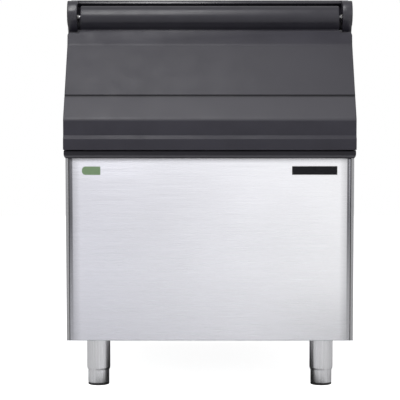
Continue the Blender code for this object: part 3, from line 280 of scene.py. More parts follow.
def brushed_steel(name, grain, pale=STEEL_PALE, dark=STEEL_DARK, rough=STEEL_ROUGH):
    """Stainless brushed along one axis: long fine scratches, coarser streaks and soft clouds."""
    made, tree, shader = finish(name, pale, rough, 1.0)
    fine, coarse = [
        noise(tree, 1.0, detail, tuple(along if axis == grain else across for axis in "xyz"))
        for detail, along, across in (SCRATCHES, STREAKS)
    ]
    clouds = noise(tree, STEEL_CLOUDS, 2.0)
    tone = maths(tree, "ADD", carry(tree, fine, 0.0, SCRATCH_SHARE),
                 carry(tree, coarse, 0.0, STREAK_SHARE))
    tone = maths(tree, "ADD", tone, carry(tree, clouds, 0.0, CLOUD_SHARE))
    tree.links.new(tint(tree, tone, dark, pale), shader.inputs["Base Color"])
    worn = maths(tree, "ADD", carry(tree, fine, -0.05, 0.07),
                 carry(tree, clouds, rough - 0.03, rough + 0.03))
    tree.links.new(worn, shader.inputs["Roughness"])
    shader.inputs["Anisotropic"].default_value = 0.55
    shader.inputs["Anisotropic Rotation"].default_value = 0.25
    relief(tree, shader, fine, STEEL_RELIEF, 0.35)
    return made


def mottled(tree, shader, value, first, second):
    """Colours a surface from one tone to another by the middle range of a value."""
    share = carry(tree, value, 0.0, 1.0)
    tree.links.new(tint(tree, share, first, second), shader.inputs["Base Color"])


def rubber(name):
    """Black moulded rubber with a dusty, slightly pitted face."""
    made, tree, shader = finish(name, RUBBER_BLACK, RUBBER_ROUGH)
    mottled(tree, shader, noise(tree, RUBBER_DUST, 4.0), RUBBER_CLEAN, RUBBER_DUSTY)
    relief(tree, shader, noise(tree, RUBBER_PITS, 3.0), RUBBER_RELIEF, 0.6)
    return made


tube_steel = brushed_steel("leg_tube_steel", "z", TUBE_PALE, TUBE_DARK, 0.24)
foot_steel = brushed_steel("foot_tube_steel", "z", TUBE_PALE, TUBE_DARK, 0.26)
pad_rubber = rubber("pad_rubber")
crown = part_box("base_pan")[0].z
bore = TUBE_RADIUS - TUBE_WALL
foot_bore = FOOT_RADIUS - FOOT_WALL
for foot in feet:
    low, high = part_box(f"{foot}_leg")
    centre = ((low.x + high.x) / 2, (low.y + high.y) / 2, 0)
    outline = rounded_line([
        (0, crown - TUBE_CROWN, 0), (bore, crown - TUBE_CROWN, 0), (bore, low.z, THIN_ROUND),
        (TUBE_RADIUS - TUBE_TAPER, low.z, TUBE_END_ROUND),
        (TUBE_RADIUS, low.z + TUBE_TAPER_RISE, TUBE_TAPER_ROUND),
        (TUBE_RADIUS, crown - CLEARANCE, 0), (0, crown - CLEARANCE, 0),
    ])
    leg = turned(f"{foot}_leg_tube", outline, centre, "z", tube_steel)
    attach(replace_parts(leg, f"{foot}_leg"), "cabinet")

    low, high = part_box(f"{foot}_foot")
    outline = rounded_line([
        (0, low.z, 0), (FOOT_RADIUS, low.z, FOOT_ROUND), (FOOT_RADIUS, high.z, THIN_ROUND),
        (foot_bore, high.z, THIN_ROUND), (foot_bore, low.z + FOOT_WALL, FOOT_BORE_ROUND),
        (0, low.z + FOOT_WALL, 0),
    ])
    tube_foot = turned(f"{foot}_foot_tube", outline, centre, "z", foot_steel)
    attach(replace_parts(tube_foot, f"{foot}_foot"), f"{foot}_foot_body")

    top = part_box(f"{foot}_pad")[1].z
    outline = rounded_line([(0, 0, 0), (PAD_RADIUS, 0, PAD_ROUND), (PAD_RADIUS, top, THIN_ROUND),
                            (0, top, 0)])
    pad = turned(f"{foot}_rubber_pad", outline, centre, "z", pad_rubber)
    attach(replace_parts(pad, f"{foot}_pad"), f"{foot}_foot_body")


# Side panels and front panel: stainless sheet brushed lengthways. The sides are cut back along the
# door and flanged, with a painted shade on the front edge of each flange; the front's upright edges
# are rolled back in a flat curve, with a painted dark reflection on them, and the front's steel
# carries painted light and shade.

PANEL_BEND, PANEL_BEND_DEPTH = 0.010, 0.003
PANEL_RETURN = 0.022
PANEL_SHEET = 0.0012
PANEL_EDGE = 0.0004
FRONT_PALE, FRONT_DARK = (0.785, 0.785, 0.860), (0.715, 0.715, 0.775)
FRONT_PAINTED_LIGHT = (1.0, 1.0, 1.0)
FRONT_PAINTED_SHADE = (0.430, 0.430, 0.455)
BEND_PAINTED_REFLECTION = (0.135, 0.135, 0.147)
FLANGE_PAINTED_SHADE = (0.35, 0.35, 0.36)
low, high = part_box("front_panel")
face_y, side_start = low.y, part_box("left_side_panel")[0].y
# Painted light and shade, each tone and where it lies: one or two ramps (axis, first share, last
# share, start, end).
FRONT_PAINTED_LIGHT_AND_SHADE = [
    # Painted light towards the right; painted shade towards the bottom, at the lower right and at
    # the upper left.
    (FRONT_PAINTED_LIGHT, ("X", 0.0, 0.60, -0.30, 0.36)),
    (FRONT_PAINTED_SHADE, ("Z", 0.28, 0.0, 0.13, 0.33)),
    (FRONT_PAINTED_SHADE, ("X", 0.0, 0.30, 0.08, 0.34), ("Z", 1.0, 0.0, 0.14, 0.27)),
    (FRONT_PAINTED_SHADE, ("X", 0.33, 0.0, -0.34, 0.12), ("Z", 0.4, 1.0, 0.40, 0.56)),
    # A painted shadow under the sill, and a painted bright strip just under its hook.
    (FRONT_PAINTED_SHADE, ("Z", 0.0, 0.30, 0.6005, 0.6085), ("Z", 1.0, 0.0, 0.6120, 0.6138)),
    (FRONT_PAINTED_LIGHT, ("Z", 0.0, 0.9, 0.6122, 0.6138)),
    # A painted dark reflection near and on the upright bends, fading towards the bottom.
    (BEND_PAINTED_REFLECTION, ("aside", 0.0, 0.34, high.x - 0.030, high.x - 0.011)),
    (BEND_PAINTED_REFLECTION, ("aside", 0.0, 1.0, high.x - 0.0114, high.x - 0.0092),
     ("Z", 0.20, 1.0, 0.13, 0.46)),
]
# A painted shade on the front edge of each side sheet's flange.
SIDE_PAINTED_SHADE = [(FLANGE_PAINTED_SHADE, ("Y", 1.0, 0.0, side_start + 0.0014, side_start + 0.0060))]


def carried(name, outline, stations, insets, axis, made, shares=1.0, top=0.0):
    """Carries a closed outline along x, y or z: at each station it is drawn in by an inset, square
    to itself, and its second value is top + (value - top) x share."""
    before, after = np.roll(outline, 1, axis=0), np.roll(outline, -1, axis=0)
    runs = [(outline - before), (after - outline)]
    runs = [run / np.maximum(np.linalg.norm(run, axis=1, keepdims=True), 1e-9) for run in runs]
    area = np.sum(outline[:, 0] * after[:, 1] - outline[:, 1] * after[:, 0])
    normals = [np.stack([-run[:, 1], run[:, 0]], axis=1) * np.sign(area) for run in runs]
    mitre = normals[0] + normals[1]
    mitre = mitre / np.maximum(np.sum(mitre * normals[0], axis=1, keepdims=True), 0.5)
    flat = outline[None] + mitre[None] * np.array(insets)[:, None, None]
    flat[..., 1] = top + (flat[..., 1] - top) * np.reshape(shares, (-1, 1))
    along = np.broadcast_to(np.array(stations)[:, None], flat.shape[:2])
    order = {"x": (along, flat[..., 0], flat[..., 1]), "z": (flat[..., 0], flat[..., 1], along),
             "y": (flat[..., 0], along, flat[..., 1])}[axis]
    count = len(outline)
    faces = grid_faces(len(stations), count, wrap_columns=True)
    last = (len(stations) - 1) * count
    faces += [list(range(count))[::-1], list(range(last, last + count))]
    return smooth_piece(name, np.stack(order, axis=-1), faces, made)


def rounded_ends(low, high, radius, steps):
    """Stations and insets that round both ends of a carried outline: a quarter circle each."""
    angle = np.linspace(0, np.pi / 2, steps + 1)
    inset = radius * (1 - np.sin(angle))
    rise = radius * (1 - np.cos(angle))
    return np.concatenate([low + rise, (high - rise)[::-1]]), np.concatenate([inset, inset[::-1]])


def shaded(made, share, shade):
    """Mixes another tone into a material's colour by a share."""
    tree = made.node_tree
    colour = tree.nodes["Principled BSDF"].inputs["Base Color"]
    tree.links.new(tint(tree, share, colour.links[0].from_socket, shade), colour)


def place_along(tree, axis):
    """Object coordinate along one axis, or aside: its distance from the middle plane."""
    split = tree.nodes.new("ShaderNodeSeparateXYZ")
    tree.links.new(place_of(tree, (1, 1, 1)), split.inputs["Vector"])
    return maths(tree, "ABSOLUTE", split.outputs["X"]) if axis == "aside" else split.outputs[axis]


def toned(made, tones):
    """Paints tones of light and shade into a material's colour in turn, each by the product of its
    ramps.
    """
    tree = made.node_tree
    axes = dict.fromkeys(axis for _, *ramps in tones for axis, *_ in ramps)
    places = {axis: place_along(tree, axis) for axis in axes}
    for shade, *ramps in tones:
        shares = [carry(tree, places[axis], *ramp) for axis, *ramp in ramps]
        shaded(made, maths(tree, "MULTIPLY", *shares) if len(shares) > 1 else shares[0], shade)
    return made


back_edge = face_y + PANEL_RETURN
angle = np.linspace(0, np.pi / 2, 13)
bend = np.stack([high.x - PANEL_BEND * (1 - np.sin(angle)),
                 face_y + PANEL_BEND_DEPTH * (1 - np.cos(angle))], axis=1)
face = np.concatenate([bend[::-1] * (-1, 1), bend])
inner_face = face * (1 - PANEL_SHEET / high.x, 1) + (0, PANEL_SHEET)
outline = np.concatenate([
    [[low.x, back_edge]], face, [[high.x, back_edge], [high.x - PANEL_SHEET, back_edge]],
    inner_face[::-1], [[low.x + PANEL_SHEET, back_edge]],
])
stations, insets = rounded_ends(low.z, high.z, PANEL_EDGE, 2)
# The front's steel with its painted light and shade.
front_steel = toned(brushed_steel("front_panel_brushed", "x", FRONT_PALE, FRONT_DARK), FRONT_PAINTED_LIGHT_AND_SHADE)
front = carried("front_panel_sheet", outline, stations, insets, "z", front_steel)
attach(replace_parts(front, "front_panel"), "cabinet")
side_steel = toned(brushed_steel("side_panel_brushed", "y"), SIDE_PAINTED_SHADE)
dress(["left_side_panel", "right_side_panel"], side_steel)


# Plate and label on the front: a bare black plate in a thin bright rim at the upper right, and a
# plain green sticker at the upper left. Both lie flat on the brushed sheet.

PLATE_LOW, PLATE_HIGH = (0.2163, 0.5706), (0.3371, 0.5947)
PLATE_THICK, PLATE_RIM, PLATE_CORNER, PLATE_EDGE = 0.0010, 0.0008, 0.0012, 0.0003
FIELD_PROUD, FIELD_CORNER, FIELD_EDGE = 0.0003, 0.0008, 0.0002
RIM_PALE, RIM_DARK = (0.86, 0.86, 0.87), (0.78, 0.78, 0.79)
ENAMEL, ENAMEL_SPECULAR = (0.009, 0.009, 0.011), 0.12
ENAMEL_DARK, ENAMEL_PALE = (0.006, 0.006, 0.008), (0.013, 0.013, 0.016)
ENAMEL_ROUGH = (0.24, 0.36)
WIPING_MARKS = (60.0, 60.0, 900.0)
STICKER_LOW, STICKER_HIGH = (-0.3376, 0.5708), (-0.2890, 0.5931)
STICKER_THICK, STICKER_EDGE = 0.0002, 0.0001
STICKER_CORNERS = (0.0095, 0.0012)
STICKER_GREEN, STICKER_ROUGH = (0.17, 0.26, 0.14), 0.38
STICKER_DARK, STICKER_PALE = (0.15, 0.24, 0.125), (0.19, 0.285, 0.155)
PAPER_MOTTLE, PAPER_RELIEF = 420.0, 0.00003


def flat_tablet(name, low, high, corners, proud, edge, made):
    """A rectangle carried along y off the steel, with (left, right) corners and a round edge."""
    left_corner, right_corner = corners
    outline = rounded_line([
        (low[0], low[1], left_corner), (high[0], low[1], right_corner),
        (high[0], high[1], right_corner), (low[0], high[1], left_corner),
    ], closed=True)
    angle = np.linspace(0, np.pi / 2, 4)
    stations = np.concatenate([[face_y], face_y - proud + edge * (1 - np.sin(angle))])
    insets = np.concatenate([[0], edge * (1 - np.cos(angle))])
    tablet = carried(name, outline, stations, insets, "y", made)
    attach(tablet, "cabinet")


def plate_black(name):
    """Black enamel, a little cloudy, with fine wiping marks."""
    made, tree, shader = finish(name, ENAMEL, sum(ENAMEL_ROUGH) / 2)
    shader.inputs["Specular IOR Level"].default_value = ENAMEL_SPECULAR
    marks = noise(tree, 1.0, 3.0, WIPING_MARKS)
    mottled(tree, shader, marks, ENAMEL_DARK, ENAMEL_PALE)
    tree.links.new(carry(tree, marks, *ENAMEL_ROUGH), shader.inputs["Roughness"])
    return made


def sticker_green(name):
    """Printed paper under clear film: muted green with a faint paper mottle."""
    made, tree, shader = finish(name, STICKER_GREEN, STICKER_ROUGH)
    mottle = noise(tree, PAPER_MOTTLE, 4.0)
    mottled(tree, shader, mottle, STICKER_DARK, STICKER_PALE)
    relief(tree, shader, mottle, PAPER_RELIEF, 0.4)
    return made


flat_tablet("front_plate_rim", PLATE_LOW, PLATE_HIGH, (PLATE_CORNER, PLATE_CORNER), PLATE_THICK,
            PLATE_EDGE, brushed_steel("plate_rim_steel", "x", RIM_PALE, RIM_DARK, 0.3))
flat_tablet("front_plate_field", np.add(PLATE_LOW, PLATE_RIM), np.subtract(PLATE_HIGH, PLATE_RIM),
            (FIELD_CORNER, FIELD_CORNER), PLATE_THICK + FIELD_PROUD, FIELD_EDGE,
            plate_black("plate_enamel"))
flat_tablet("front_sticker", STICKER_LOW, STICKER_HIGH, STICKER_CORNERS, STICKER_THICK,
            STICKER_EDGE, sticker_green("sticker_print"))


# Tub, insulation, baffle and drain: the tub and the baffle are rotation-moulded pale polyethylene
# with a faint orange-peel face, and the space between tub and sheets is filled with yellow foam.

TUB_PALE, TUB_SHADE, TUB_ROUGH = (0.78, 0.80, 0.82), (0.70, 0.72, 0.735), 0.38
TUB_CLOUDS, TUB_RUBS = 5.0, 16.0
ORANGE_PEEL, PEEL_RELIEF = 420.0, 0.00012
DRAIN_SHADE, DRAIN_PALE = (0.60, 0.61, 0.62), (0.68, 0.69, 0.70)
FOAM, FOAM_ROUGH = (0.80, 0.70, 0.42), 0.9
FOAM_OLD, FOAM_FRESH = (0.70, 0.58, 0.31), (0.85, 0.77, 0.52)
FOAM_CLOUDS, FOAM_CELLS, FOAM_RELIEF = 14.0, 900.0, 0.0004
COPY_CREASE = 40.0


def smoothed_copy(node, name, made):
    """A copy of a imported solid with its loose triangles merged, so that its arcs shade smooth."""
    mesh = nodes[node].data.copy()
    shape = bmesh.new()
    shape.from_mesh(mesh)
    bmesh.ops.remove_doubles(shape, verts=shape.verts, dist=MERGED_WITHIN)
    flat = np.radians(0.1)
    bmesh.ops.dissolve_limit(shape, angle_limit=flat, verts=shape.verts, edges=shape.edges)
    shape.to_mesh(mesh)
    shape.free()
    mesh.name = name
    mesh.materials.clear()
    if "custom_normal" in mesh.attributes:
        mesh.attributes.remove(mesh.attributes["custom_normal"])
    obj = smoothed(name, mesh, made, COPY_CREASE)
    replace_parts(obj, node)
    return obj


def moulded_pale(name, shade=TUB_SHADE, pale=TUB_PALE, rough=TUB_ROUGH):
    """Pale moulded plastic: soft cloudy tone, orange-peel relief and patches of other gloss."""
    made, tree, shader = finish(name, pale, rough)
    mottled(tree, shader, noise(tree, TUB_CLOUDS, 3.0), shade, pale)
    rubs = carry(tree, noise(tree, TUB_RUBS, 4.0), rough - 0.06, rough + 0.08)
    tree.links.new(rubs, shader.inputs["Roughness"])
    relief(tree, shader, noise(tree, ORANGE_PEEL, 2.0), PEEL_RELIEF, 0.5)
    return made


def yellow_foam(name):
    """Cut foam: fine open cells over a yellowed ground."""
    made, tree, shader = finish(name, FOAM, FOAM_ROUGH)
    mottled(tree, shader, noise(tree, FOAM_CLOUDS, 4.0), FOAM_OLD, FOAM_FRESH)
    relief(tree, shader, cells(tree, FOAM_CELLS, "Distance"), FOAM_RELIEF, 0.8)
    return made


tub_plastic = moulded_pale("tub_plastic")
for node in ("liner", "ice_baffle"):
    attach(smoothed_copy(node, f"{node}_moulding", tub_plastic), "cabinet")
drain_plastic = moulded_pale("drain_plastic", DRAIN_SHADE, DRAIN_PALE, 0.34)
for node in ("drain_outlet", "drain_nut"):
    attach(smoothed_copy(node, f"{node}_moulding", drain_plastic), "cabinet")
dress(["drain_seal"], rubber("seal_rubber"))
dress(["insulation", "door_insulation"], yellow_foam("insulation_foam"))
dress(["left_baffle_screw", "right_baffle_screw"], brushed_steel("screw_steel", "x", rough=0.3))


# Sill, side frames, top rail and rim: satin charcoal mouldings with a very fine spark-eroded grain.
# The sill hooks over the front sheet, each frame is screwed to the slanted edge and carries an ear
# for the door's hinge, and the rail behind the roll is hollowed so that the roll can turn in it.

CHARCOAL_DARK = (0.0190, 0.0180, 0.0245)
CHARCOAL_PALE = (0.0255, 0.0242, 0.0325)
CHARCOAL_RUBBED = (0.045, 0.044, 0.052)
CHARCOAL_CLOUDS, CHARCOAL_PATCHES, CHARCOAL_GRAIN = 9.0, 20.0, 1700.0
CHARCOAL_RELIEF = 0.00006
RUB_MARKS, RUB_SHARE, RUB_RANGE = (35.0, 160.0, 160.0), 0.30, (0.66, 0.82)
DOOR_GLOSS, TRIM_GLOSS, SILL_GLOSS = 0.32, 0.50, 0.22


def charcoal(name, rough=0.40, gloss=DOOR_GLOSS, lift=1.0):
    """Dark moulded plastic: fine eroded grain, faint flow clouds and a few pale rub marks."""
    made, tree, shader = finish(name, CHARCOAL_PALE, rough)
    shader.inputs["Specular IOR Level"].default_value = gloss
    dark, pale = (tuple(lift * part for part in tone) for tone in (CHARCOAL_DARK, CHARCOAL_PALE))
    mottled(tree, shader, noise(tree, CHARCOAL_CLOUDS, 3.0), dark, pale)
    rubs = carry(tree, noise(tree, 1.0, 5.0, RUB_MARKS), 0.0, RUB_SHARE, *RUB_RANGE)
    shaded(made, rubs, CHARCOAL_RUBBED)
    patches = carry(tree, noise(tree, CHARCOAL_PATCHES, 4.0), rough - 0.05, rough + 0.06)
    tree.links.new(patches, shader.inputs["Roughness"])
    relief(tree, shader, noise(tree, CHARCOAL_GRAIN, 2.0), CHARCOAL_RELIEF, 0.35)
    return made


trim_plastic = charcoal("trim_plastic", 0.29, TRIM_GLOSS)
sill_plastic = charcoal("sill_plastic", 0.34, SILL_GLOSS)


def joined(name, pieces):
    """Joins the shells of one moulding into one mesh."""
    shape = bmesh.new()
    for piece in pieces:
        shape.from_mesh(piece.data)
    keep = pieces[0]
    shape.to_mesh(keep.data)
    shape.free()
    for piece in pieces[1:]:
        bpy.data.objects.remove(piece)
    keep.name = keep.data.name = name
    return keep


def moved_in(line, distance):
    """An open line of (y, z) points moved into the cabinet, square to each of its straight runs."""
    run = np.diff(line, axis=0)
    run = run / np.linalg.norm(run, axis=1, keepdims=True)
    normal = np.stack([run[:, 1], -run[:, 0]], axis=1)
    mitre = np.concatenate([normal[:1], normal[:-1] + normal[1:], normal[-1:]])
    partner = np.concatenate([normal[:1], normal[1:], normal[-1:]])
    mitre = mitre / np.sum(mitre * partner, axis=1, keepdims=True)
    return line + mitre * distance


def cut_between(line, low, high):
    """The part of an upward line between two heights."""
    ends = [[np.interp(height, line[:, 1], line[:, 0]), height] for height in (low, high)]
    inner = line[(line[:, 1] > low) & (line[:, 1] < high)]
    return np.concatenate([ends[:1], inner, ends[1:]])


# ... the door's side line, which the frames and the sill follow: face, slope and shoulder
FACE_IN = 0.008
DOOR_THICK = 0.022
SEAT_GAP = 0.002
FACE_TOP_Z, SLOPE_END_Z, SHOULDER_Z = 0.7175, 0.9111, 0.9475
SLOPE_LEAN, TOP_LEAN = np.radians(40.7), np.radians(15.4)
door_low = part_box("door_skin")[0]
face_depth = door_low.y + FACE_IN
slope_y = face_depth + (SLOPE_END_Z - FACE_TOP_Z) * np.tan(SLOPE_LEAN)
shoulder_y = slope_y + (SHOULDER_Z - SLOPE_END_Z) * np.tan(TOP_LEAN)
door_line = np.array([[face_depth, door_low.z], [face_depth, FACE_TOP_Z],
                      [slope_y, SLOPE_END_Z], [shoulder_y, SHOULDER_Z]])
seat = moved_in(door_line, DOOR_THICK + SEAT_GAP)
seat_low_y, seat_top_y = seat[0, 0], seat[-1, 0]
hinge = next(joint for joint in frame["joints"] if joint["name"] == "door_hinge")
axis_y, axis_z = hinge["pos_m"][1:]

# ... the sill: its lip over the steel and the saddle that the door closes over
SILL_TOP, SILL_FOOT, SILL_HOOK_Z = 0.635, 0.6156, 0.6218
SILL_STEP_IN, SILL_STEP_LOW, SILL_STEP_HIGH = 0.0018, 0.6203, 0.6222
SILL_BACK = 0.004
SILL_CORNER_WIDTH, SILL_CORNER_RISE, SILL_EDGE = 0.0065, 0.013, 0.001
# A painted highlight: a pale line along the sill's lower step, where light catches it.
SILL_PAINTED_HIGHLIGHT = (0.087, 0.086, 0.095)
SILL_HIGHLIGHT_FOOT, SILL_HIGHLIGHT_TOP = ("Z", 0.0, 1.0, 0.6184, 0.6196), ("Z", 1.0, 0.0, 0.6222, 0.6234)
SADDLE_FOOT, SADDLE_STEP, SADDLE_BACK_TOP = 0.6225, 0.636, 0.667
SADDLE_WALL, SADDLE_SHELF, SADDLE_RISE, SADDLE_DROP = 0.003, 0.010, 0.0009, 0.0005
FRAME_INNER, FRAME_OUTER = 0.328, 0.385
low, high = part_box("sill_trim")
lip = rounded_line([
    (low.y, SILL_FOOT, 0.0010), (low.y, SILL_STEP_LOW, 0.0005),
    (low.y + SILL_STEP_IN, SILL_STEP_HIGH, 0.0006), (low.y + SILL_STEP_IN, SILL_TOP, 0.002),
    (seat_low_y + SILL_BACK, SILL_TOP, 0), (seat_low_y + SILL_BACK, SILL_HOOK_Z, 0),
    (face_y - CLEARANCE, SILL_HOOK_Z, 0), (face_y - CLEARANCE, SILL_FOOT, 0),
], closed=True)
stations, corner = rounded_ends(low.x, high.x, SILL_CORNER_WIDTH, 10)
corner = corner / SILL_CORNER_WIDTH
height_left = 1 - corner * SILL_CORNER_RISE / (SILL_TOP - lip[:, 1].min())
# The sill's plastic with its painted highlight.
toned(sill_plastic, [(SILL_PAINTED_HIGHLIGHT, SILL_HIGHLIGHT_FOOT, SILL_HIGHLIGHT_TOP)])
sill_lip = carried("sill_lip", lip, stations, SILL_EDGE * corner ** 4, "x", sill_plastic,
                   shares=height_left, top=SILL_TOP)
saddle = rounded_line([
    (seat_low_y, SADDLE_FOOT, 0), (seat_low_y, high.z + SADDLE_RISE, 0.003),
    (high.y, SADDLE_BACK_TOP, 0.003), (high.y, low.z + SADDLE_DROP, 0.001),
    (high.y - SADDLE_WALL, low.z + SADDLE_DROP, 0.001), (high.y - SADDLE_WALL, SADDLE_STEP, 0),
    (high.y - SADDLE_SHELF, SADDLE_STEP, 0), (high.y - SADDLE_SHELF, SADDLE_FOOT, 0),
], closed=True)
stations, insets = rounded_ends(CLEARANCE - FRAME_INNER, FRAME_INNER - CLEARANCE, 0.001, 3)
sill_saddle = carried("sill_saddle", saddle, stations, insets, "x", sill_plastic)
sill = joined("sill_moulding", [sill_lip, sill_saddle])
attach(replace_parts(sill, "sill_trim"), "cabinet")

# ... a side frame: face strip, outer skirt, inner web and the hinge ear
SKIRT_DEPTH, SKIRT_DROP, SKIRT_INNER, APRON_IN = 0.020, 0.012, 0.3813, 0.001
EAR_RADIUS, EAR_RISE, EAR_BACK, EAR_FOOT_DROP = 0.035, 0.009, 0.050, 0.0145
ear_z = axis_z + EAR_RISE
ear_foot = ear_z - EAR_RADIUS - EAR_FOOT_DROP
ear_top = ear_z + EAR_RADIUS
ear_back = axis_y + EAR_BACK
frame_low = SILL_TOP + CLEARANCE


def strip(depth, low, high):
    """Closed side outline between the seat line and the same line moved in by a depth."""
    back = cut_between(moved_in(seat, depth), low, high)
    return np.concatenate([cut_between(seat, low, high), back[::-1]])


def ear_outline():
    """Side outline of an ear: from its foot up a tangent to a circle above the hinge, and down a
    square back. The tangent touches at atan(reach / drop) + acos(radius / distance)."""
    reach, drop = axis_y - seat_top_y, ear_z - ear_foot
    touch = np.arctan2(reach, drop) + np.arccos(EAR_RADIUS / np.hypot(reach, drop))
    angle = np.linspace(touch, np.pi, 40)
    drum = (axis_y, ear_z) - EAR_RADIUS * np.stack([np.sin(angle), np.cos(angle)], axis=1)
    back = [[ear_back, ear_top], [ear_back, ear_foot]]
    return np.concatenate([[[seat_top_y, ear_foot]], drum, back])


def frame_shell(name, outline, inner, outer, edge, sign):
    """One shell of a frame between two distances from the middle, on the right (1) or left (-1)."""
    low, high = sorted((sign * inner, sign * outer))
    stations, insets = rounded_ends(low, high, edge, 3)
    return carried(name, outline, stations, insets, "x", trim_plastic)


skirt = strip(SKIRT_DEPTH, frame_low, ear_foot - SKIRT_DROP)
apron = np.array([
    [seat_top_y, ear_foot + APRON_IN], [ear_back - APRON_IN, ear_foot + APRON_IN],
    [ear_back - APRON_IN, ear_top - CLEARANCE], [ear_back + SKIRT_DEPTH, ear_top - CLEARANCE],
    [ear_back + SKIRT_DEPTH, ear_foot - SKIRT_DEPTH], skirt[len(skirt) // 2],
])
# Each shell: name, side outline, distances of its faces from the middle plane, edge radius.
shells = [
    ("face", strip(0.004, frame_low, ear_foot + 0.002), FRAME_INNER, FRAME_OUTER, 0.0010),
    ("skirt", skirt, SKIRT_INNER, FRAME_OUTER, 0.0008),
    ("web", strip(0.046, frame_low, 0.9377), 0.3343, 0.3795, 0.0003),
    ("apron", apron, SKIRT_INNER, FRAME_OUTER, 0.0008),
    ("ear", ear_outline(), 0.3595, FRAME_OUTER, 0.0015),
]
for side, sign in (("right", 1), ("left", -1)):
    side_frame = joined(f"{side}_frame_moulding", [frame_shell(*shell, sign) for shell in shells])
    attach(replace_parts(side_frame, f"{side}_side_frame"), "cabinet")

# ... the top rail with its trough, and the flat rim round the mouth
RAIL_REACH, RAIL_ROUND = 0.036, 0.004
RAIL_NOSE_BACK, RAIL_NOSE, RAIL_RECESS, RAIL_UNDERCUT = 0.034, 0.0085, 0.0135, 0.011
RAIL_STEP, RAIL_STEP_DROP, RAIL_STEP_ROUND = 0.0018, 0.0038, 0.0004
RAIL_FLOOR, RAIL_WALL, RAIL_SHELF_Z = 0.0038, 0.0095, 1.0202
low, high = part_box("top_rail")
first = np.arcsin((seat_top_y - axis_y + CLEARANCE) / RAIL_REACH)
angle = np.linspace(first, np.pi / 2, 36)
trough = np.stack([axis_y + RAIL_REACH * np.sin(angle), axis_z - RAIL_REACH * np.cos(angle),
                   0 * angle], axis=1)
nose = axis_y + RAIL_NOSE_BACK
rail = rounded_line([
    (seat_top_y + CLEARANCE, low.z, 0), *trough, (nose + RAIL_RECESS, axis_z, RAIL_ROUND),
    (nose + RAIL_RECESS, high.z - RAIL_NOSE - RAIL_UNDERCUT, 0.001),
    (nose, high.z - RAIL_NOSE, RAIL_STEP_ROUND),
    (nose + RAIL_STEP, high.z - RAIL_STEP_DROP, RAIL_STEP_ROUND),
    (nose + RAIL_STEP, high.z, 0.0014), (ear_back, high.z, 0.0008),
    (ear_back, RAIL_SHELF_Z, 0), (high.y, RAIL_SHELF_Z, 0),
    (high.y, low.z + RAIL_FLOOR, 0), (seat_top_y + RAIL_WALL, low.z + RAIL_FLOOR, 0),
    (seat_top_y + RAIL_WALL, low.z, 0),
], closed=True, arc_steps=8)
stations, insets = rounded_ends(low.x, high.x, THIN_ROUND, 2)
top_rail = carried("top_rail_moulding", rail, stations, insets, "x", trim_plastic)
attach(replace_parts(top_rail, "top_rail"), "cabinet")

RIM_OUTER_CORNER, MOUTH_CORNER, RIM_EDGE = 0.002, 0.030, 0.0012
MOUTH_SIDE, MOUTH_FRONT, MOUTH_BACK = 0.329, face_y + 0.2667, face_y + 0.767


def ring(name, outer, inner, low, high, edge, made):
    """A flat ring between two outlines of as many points: a box section with rounded edges."""
    def drawn(outline, inset):
        middle = (outline.max(axis=0) + outline.min(axis=0)) / 2
        return outline - np.sign(outline - middle) * inset
    rows = [(drawn(outer, edge), low), (outer, low + edge), (outer, high - edge),
            (drawn(outer, edge), high), (drawn(inner, -edge), high), (inner, high - edge),
            (inner, low + edge), (drawn(inner, -edge), low)]
    points = np.stack([np.column_stack([row, np.full(len(row), height)]) for row, height in rows])
    faces = grid_faces(len(rows), len(outer), wrap_rows=True, wrap_columns=True)
    return smooth_piece(name, points, faces, made)


def rounded_box(side, front, back, radius):
    """Points (x, y) of a rectangle about the middle plane with rounded corners."""
    corners = [(-side, front), (side, front), (side, back), (-side, back)]
    return rounded_line([(*corner, radius) for corner in corners], closed=True, arc_steps=8)


low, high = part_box("top_rim")
rim = ring("top_rim_moulding", rounded_box(high.x, low.y, high.y, RIM_OUTER_CORNER),
           rounded_box(MOUTH_SIDE, MOUTH_FRONT, MOUTH_BACK, MOUTH_CORNER), low.z, high.z, RIM_EDGE,
           charcoal("rim_plastic", 0.48, SILL_GLOSS))
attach(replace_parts(rim, "top_rim"), "cabinet")
frame_screws = [name for name in nodes if name.endswith("frame_screw")]
dress(frame_screws, brushed_steel("frame_screw_steel", "x", rough=0.3))
dress([name for name in nodes if name.endswith("bumper")], rubber("bumper_rubber"))


# Hinge: on each side a steel pin with a flat head turns in a white nylon bush, and a domed cap
# of the trim's plastic closes the ear over it.

CAP_BULGE, CAP_EDGE, CAP_FULLNESS = 0.0021, 0.0006, 1.25
CAP_PLUG, CAP_PLUG_RADIUS = 0.0037, 0.020
CAP_STEPS = 16
NYLON_SHADE, NYLON_PALE = (0.42, 0.42, 0.41), (0.50, 0.50, 0.485)
# The pin's steel is darker than the other steel: a painted shade that dims its reflection in the
# gap between ear and roll.
PIN_PALE_PAINTED_SHADE, PIN_DARK_PAINTED_SHADE = (0.40, 0.40, 0.41), (0.32, 0.32, 0.33)
cap_plastic = charcoal("cap_plastic", 0.28, TRIM_GLOSS)
nylon = moulded_pale("bush_nylon", NYLON_SHADE, NYLON_PALE, 0.34)
pin_steel = brushed_steel("pin_steel", "z", PIN_PALE_PAINTED_SHADE, PIN_DARK_PAINTED_SHADE, 0.34)


def cap_profile():
    """Half section of a dome, (radius, along): its height over the ear is edge + (bulge - edge) x
    sqrt(1 - (radius / full radius)^2) ^ fullness, so that it is full in the middle."""
    full = EAR_RADIUS - CLEARANCE
    foot = FRAME_OUTER + CLEARANCE
    radius = full * np.cos(np.linspace(0, 1, CAP_STEPS + 1) * np.pi / 2)
    height = np.sqrt(np.clip(1 - (radius / full) ** 2, 0, 1)) ** CAP_FULLNESS
    dome = np.stack([radius, foot + (CAP_EDGE + (CAP_BULGE - CAP_EDGE) * height)], axis=1)
    return np.concatenate([[[0, foot], [full, foot]], dome])


